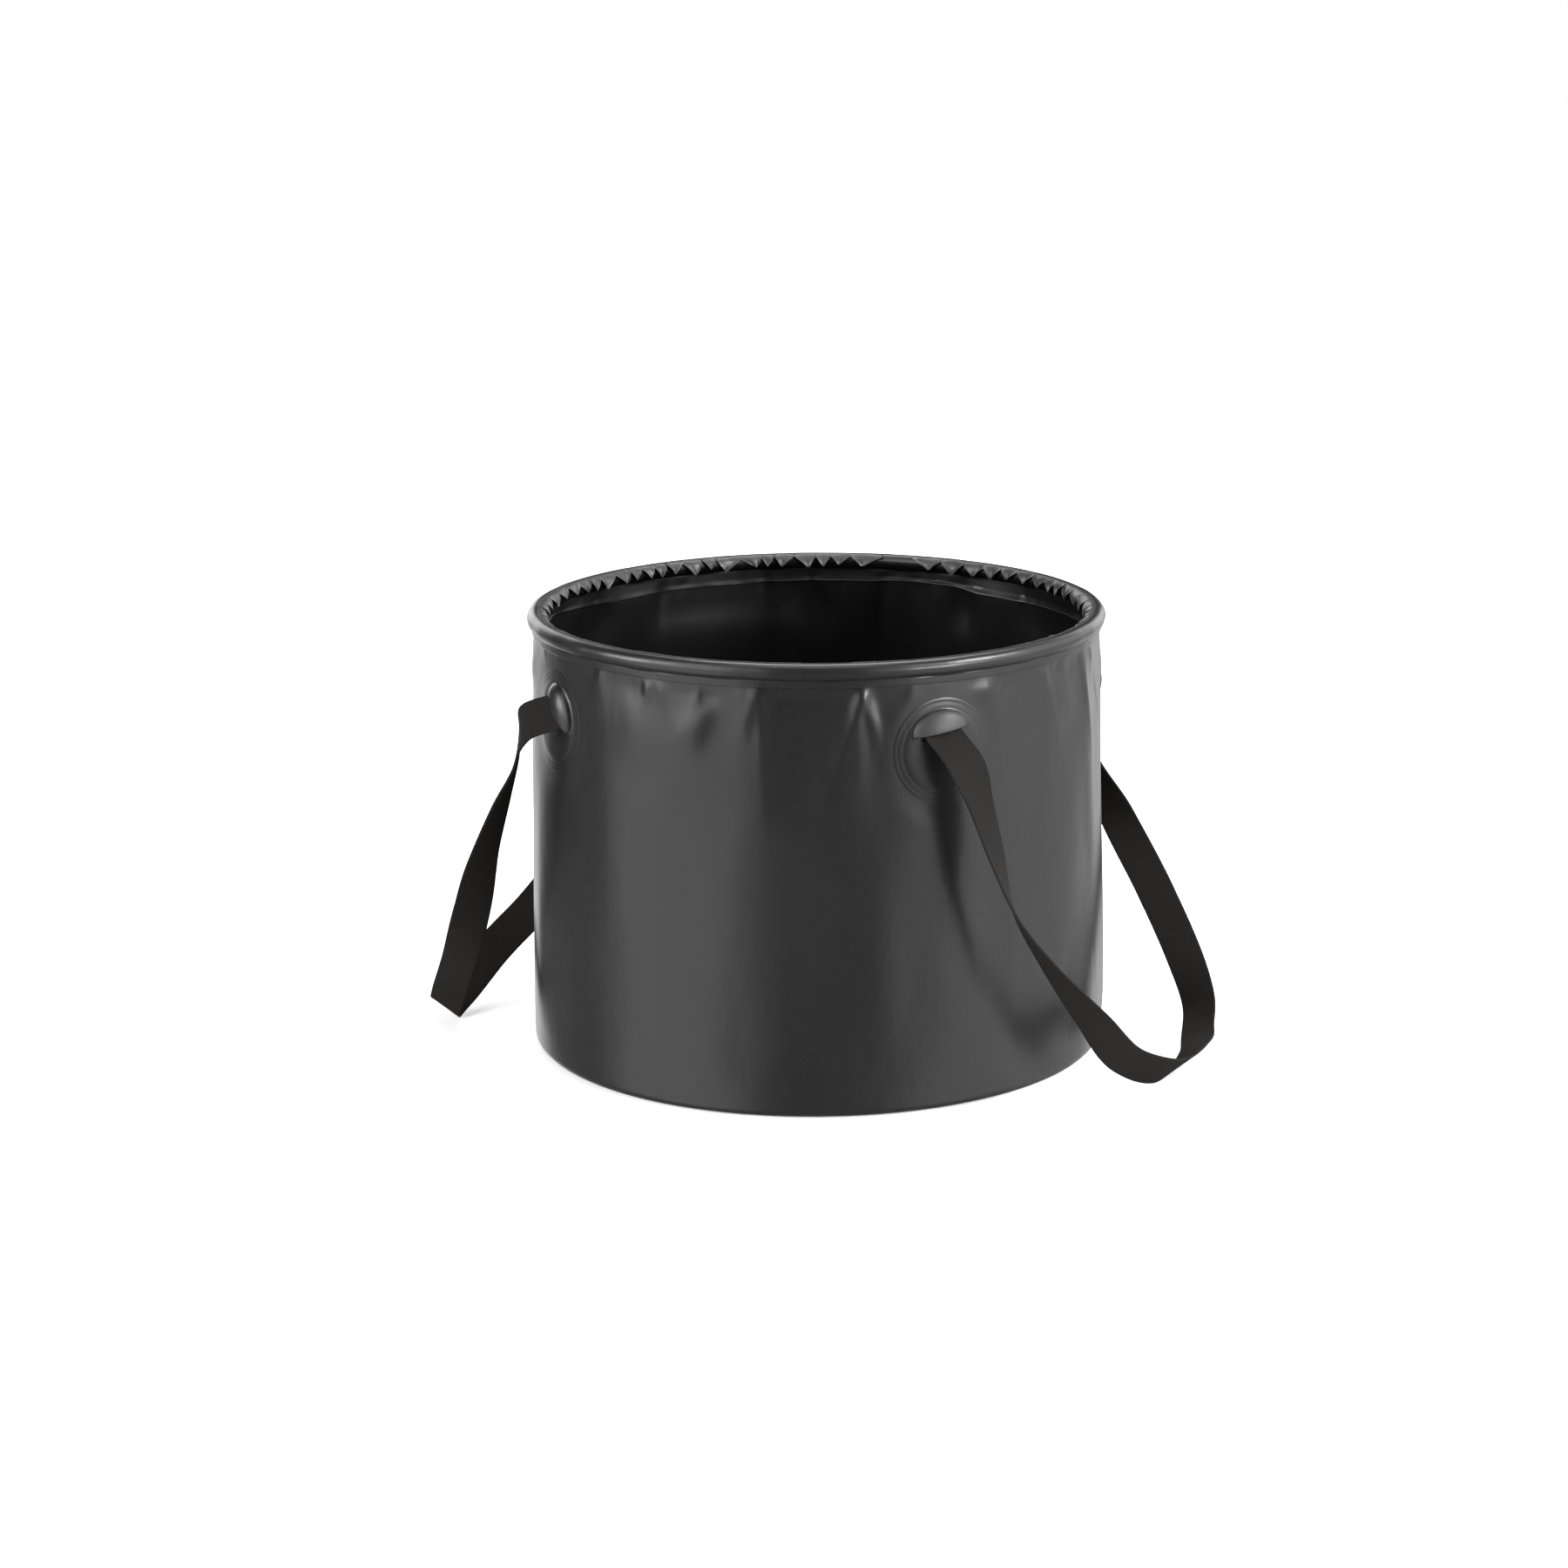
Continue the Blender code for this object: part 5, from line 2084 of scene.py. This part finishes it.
@dataclass(frozen=True)
class Lamp:
    """A soft box, aimed at the bucket.

    Attributes:
        name: its name.
        azimuth: degrees round the bucket.
        elevation: degrees above the bucket's middle.
        distance: from that middle.
        width: of its face.
        height: of its face.
        power: in watts.
    """

    name: str
    azimuth: float
    elevation: float
    distance: float
    width: float
    height: float
    power: float

    def place(self, middle: Vector) -> None:
        """Add the lamp and turn it to the bucket.

        Args:
            middle: the bucket's middle.
        """
        around, up = math.radians(self.azimuth), math.radians(self.elevation)
        out = self.distance * math.cos(up)
        offset = Vector((out * math.cos(around), out * math.sin(around), self.distance * math.sin(up)))
        Bench.pick()
        bpy.ops.object.light_add(type="AREA", location=middle + offset)
        lamp = bpy.context.active_object
        lamp.name = self.name
        lamp.rotation_euler = offset.to_track_quat("Z", "Y").to_euler()
        lamp.data.shape = "RECTANGLE"
        lamp.data.size = self.width
        lamp.data.size_y = self.height
        lamp.data.energy = self.power


@dataclass(frozen=True)
class Panel:
    """A tall bright panel of the surroundings.

    Attributes:
        azimuth: degrees round the bucket.
        half_width: degrees from its middle to its sides.
        edge: degrees over which its sides fade.
        level: how bright it is.
    """

    azimuth: float
    half_width: float
    edge: float
    level: float


@dataclass
class Studio:
    """The floor, the soft light, the white surroundings and the camera.

    Attributes:
        height: of the bucket.
        lens: the camera's focal length in millimetres.
        location: of the camera.
        forward: the way it looks.
        shift: of its frame, as shares of the width.
        ambience: how bright the surroundings are as light, between their panels.
        upper: how much brighter their upper half is.
        glow: light that comes back from the floor all round.
        near: radius inside which the floor shows the bucket's shadow fully.
        far: and past which it is quite white.
        panels: the bright panels round the bucket.
        lamps: the soft boxes.
    """

    height: float
    lens: float = 89.2
    location: tuple[float, float, float] = (0.72372, -1.88537, 0.64047)
    forward: tuple[float, float, float] = (-0.32837, 0.92371, -0.19732)
    shift: tuple[float, float] = (-0.0815, -0.1149)
    ambience: float = 0.04
    upper: float = 2.0
    glow: float = 0.26
    near: float = 0.3
    far: float = 1.6
    panels: tuple[Panel, ...] = (
        Panel(-128.0, 30.0, 10.0, 1.5),
        Panel(-8.0, 27.0, 12.0, 1.15),
        Panel(40.0, 22.0, 12.0, 0.8),
        Panel(81.0, 13.0, 6.0, 1.2),
        Panel(135.0, 14.0, 6.0, 1.35),
    )
    lamps: tuple[Lamp, ...] = (
        Lamp("left_front_box", -145.0, 22.0, 2.0, 0.7, 0.7, 11.0),
        Lamp("left_low_box", -151.0, 12.0, 2.0, 0.5, 0.25, 1.5),
        Lamp("right_front_box", 2.0, 38.0, 2.1, 0.5, 0.5, 30.0),
        Lamp("right_low_box", -19.0, 12.0, 2.1, 0.6, 0.22, 17.0),
        Lamp("back_box", 104.0, 62.0, 1.9, 1.3, 0.7, 18.0),
        Lamp("top_box", -80.0, 84.0, 1.9, 1.1, 1.1, 8.0),
    )

    def build(self) -> None:
        """Make the studio."""
        self.floor()
        self.surroundings()
        for lamp in self.lamps:
            lamp.place(Vector((0.0, 0.0, self.height / 2)))
        self.camera()

    def floor(self) -> None:
        """A wide pale floor that keeps the bucket's shadow and grows white further out."""
        Bench.pick()
        bpy.ops.mesh.primitive_plane_add(size=14.0)
        floor = bpy.context.active_object
        floor.name = "studio_floor"
        floor.visible_glossy = False
        graph = Graph(bpy.data.materials.new("floor_paper"))
        path = graph.node("ShaderNodeLightPath", {}, {}, "Is Camera Ray")
        away = graph.vector("LENGTH", graph.place())
        glow = graph.span(away, (self.near, self.far), (0.4, 1.0)) * path
        white = graph.mix(glow, (0.0, 0.0, 0.0), (1.0, 1.0, 1.0))
        paper = graph.node("ShaderNodeBsdfDiffuse", {}, {"Color": (0.9, 0.9, 0.9, 1.0)})
        light = graph.node("ShaderNodeEmission", {}, {"Color": white, "Strength": 1.0})
        both = graph.node("ShaderNodeAddShader", {}, {0: paper, 1: light})
        graph.node("ShaderNodeOutputMaterial", {}, {"Surface": both})
        floor.data.materials.append(graph.owner)

    def surroundings(self) -> None:
        """White to the camera and through what is clear, and tall soft panels as light."""
        graph = Graph(bpy.data.worlds.new("studio"))
        bpy.context.scene.world = graph.owner
        way = graph.vector("NORMALIZE", graph.place((1.0, 1.0, 0.4), "Generated"), output="Vector")
        level: Value = self.ambience
        for panel in self.panels:
            turn = math.radians(panel.azimuth)
            facing = graph.vector("DOT_PRODUCT", way, (math.cos(turn), math.sin(turn), 0.0))
            sides = (panel.half_width + panel.edge, panel.half_width - panel.edge)
            outer, inner = (math.cos(math.radians(side)) for side in sides)
            level = graph.span(facing, (outer, inner), (0.0, panel.level), "SMOOTHSTEP") + level
        height = graph.node("ShaderNodeSeparateXYZ", {}, {"Vector": way}, "Z")
        level = graph.span(height, (-0.07, 0.06), (0.9, self.upper), "SMOOTHSTEP") * level
        level = graph.span(height, (-0.10, -0.03), (self.glow, 0.0)) + level
        seen = graph.node("ShaderNodeLightPath", {}, {}, "Is Camera Ray")
        through = Signal(graph, seen.socket.node.outputs["Is Transmission Ray"])
        white = seen.maths("MAXIMUM", through)
        strength = level * (1.0 - white) + white
        inputs = {"Color": (1.0, 1.0, 1.0, 1.0), "Strength": strength}
        background = graph.node("ShaderNodeBackground", {}, inputs)
        graph.node("ShaderNodeOutputWorld", {}, {"Surface": background})

    def camera(self) -> None:
        """The camera at the photograph's angle and framing."""
        Bench.pick()
        bpy.ops.object.camera_add(location=self.location)
        camera = bpy.context.active_object
        camera.rotation_euler = Vector(self.forward).to_track_quat("-Z", "Y").to_euler()
        camera.data.lens = self.lens
        camera.data.sensor_width = 36.0
        camera.data.shift_x, camera.data.shift_y = self.shift
        camera.data.clip_start = 0.01
        bpy.context.scene.camera = camera


def dress_hoop(frame: dict[str, Any]) -> None:
    """Give the hoop's own node its finish.
    """
    hoop = frame["nodes"]["rim_hoop"]
    material = RodFinish().material()
    hoop.data.materials.clear()
    hoop.data.materials.append(material)
    LOG.info("rim_hoop: dressed")


def main() -> None:
    """Load the frame, build each sub-assembly in order and note the sizes."""
    logging.basicConfig(level=logging.INFO, format="%(name)s %(message)s")
    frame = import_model()
    bpy.context.scene.view_settings.view_transform = "Standard"
    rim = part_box("rim_hem")
    form = BucketForm(rim_radius=float(rim[1][0]), height=float(rim[1][2]))
    sheet = SHEET_FINISH.material()
    hood = HOOD_FINISH.material()
    weave = WEBBING_FINISH.material()
    Studio(form.height).build()
    # The near-black copy of the sheet that paints shade on the inner faces.
    inside_shade = INSIDE_SHADE_FINISH.material()
    Wall(form, sheet, inside_shade).build()
    Hem(form, sheet, inside_shade, PLEAT_HIGHLIGHT_FINISH.material()).build()
    dress_hoop(frame)
    BasePanel(form, BASE_FINISH.material()).build()
    RoundFittings(form, sheet, hood).build()
    for handle in (RIGHT_HANDLE, LEFT_HANDLE):
        WebbingHandle(form, handle, weave).build()
    Bench.pick()


if __name__ == "__main__":
    main()
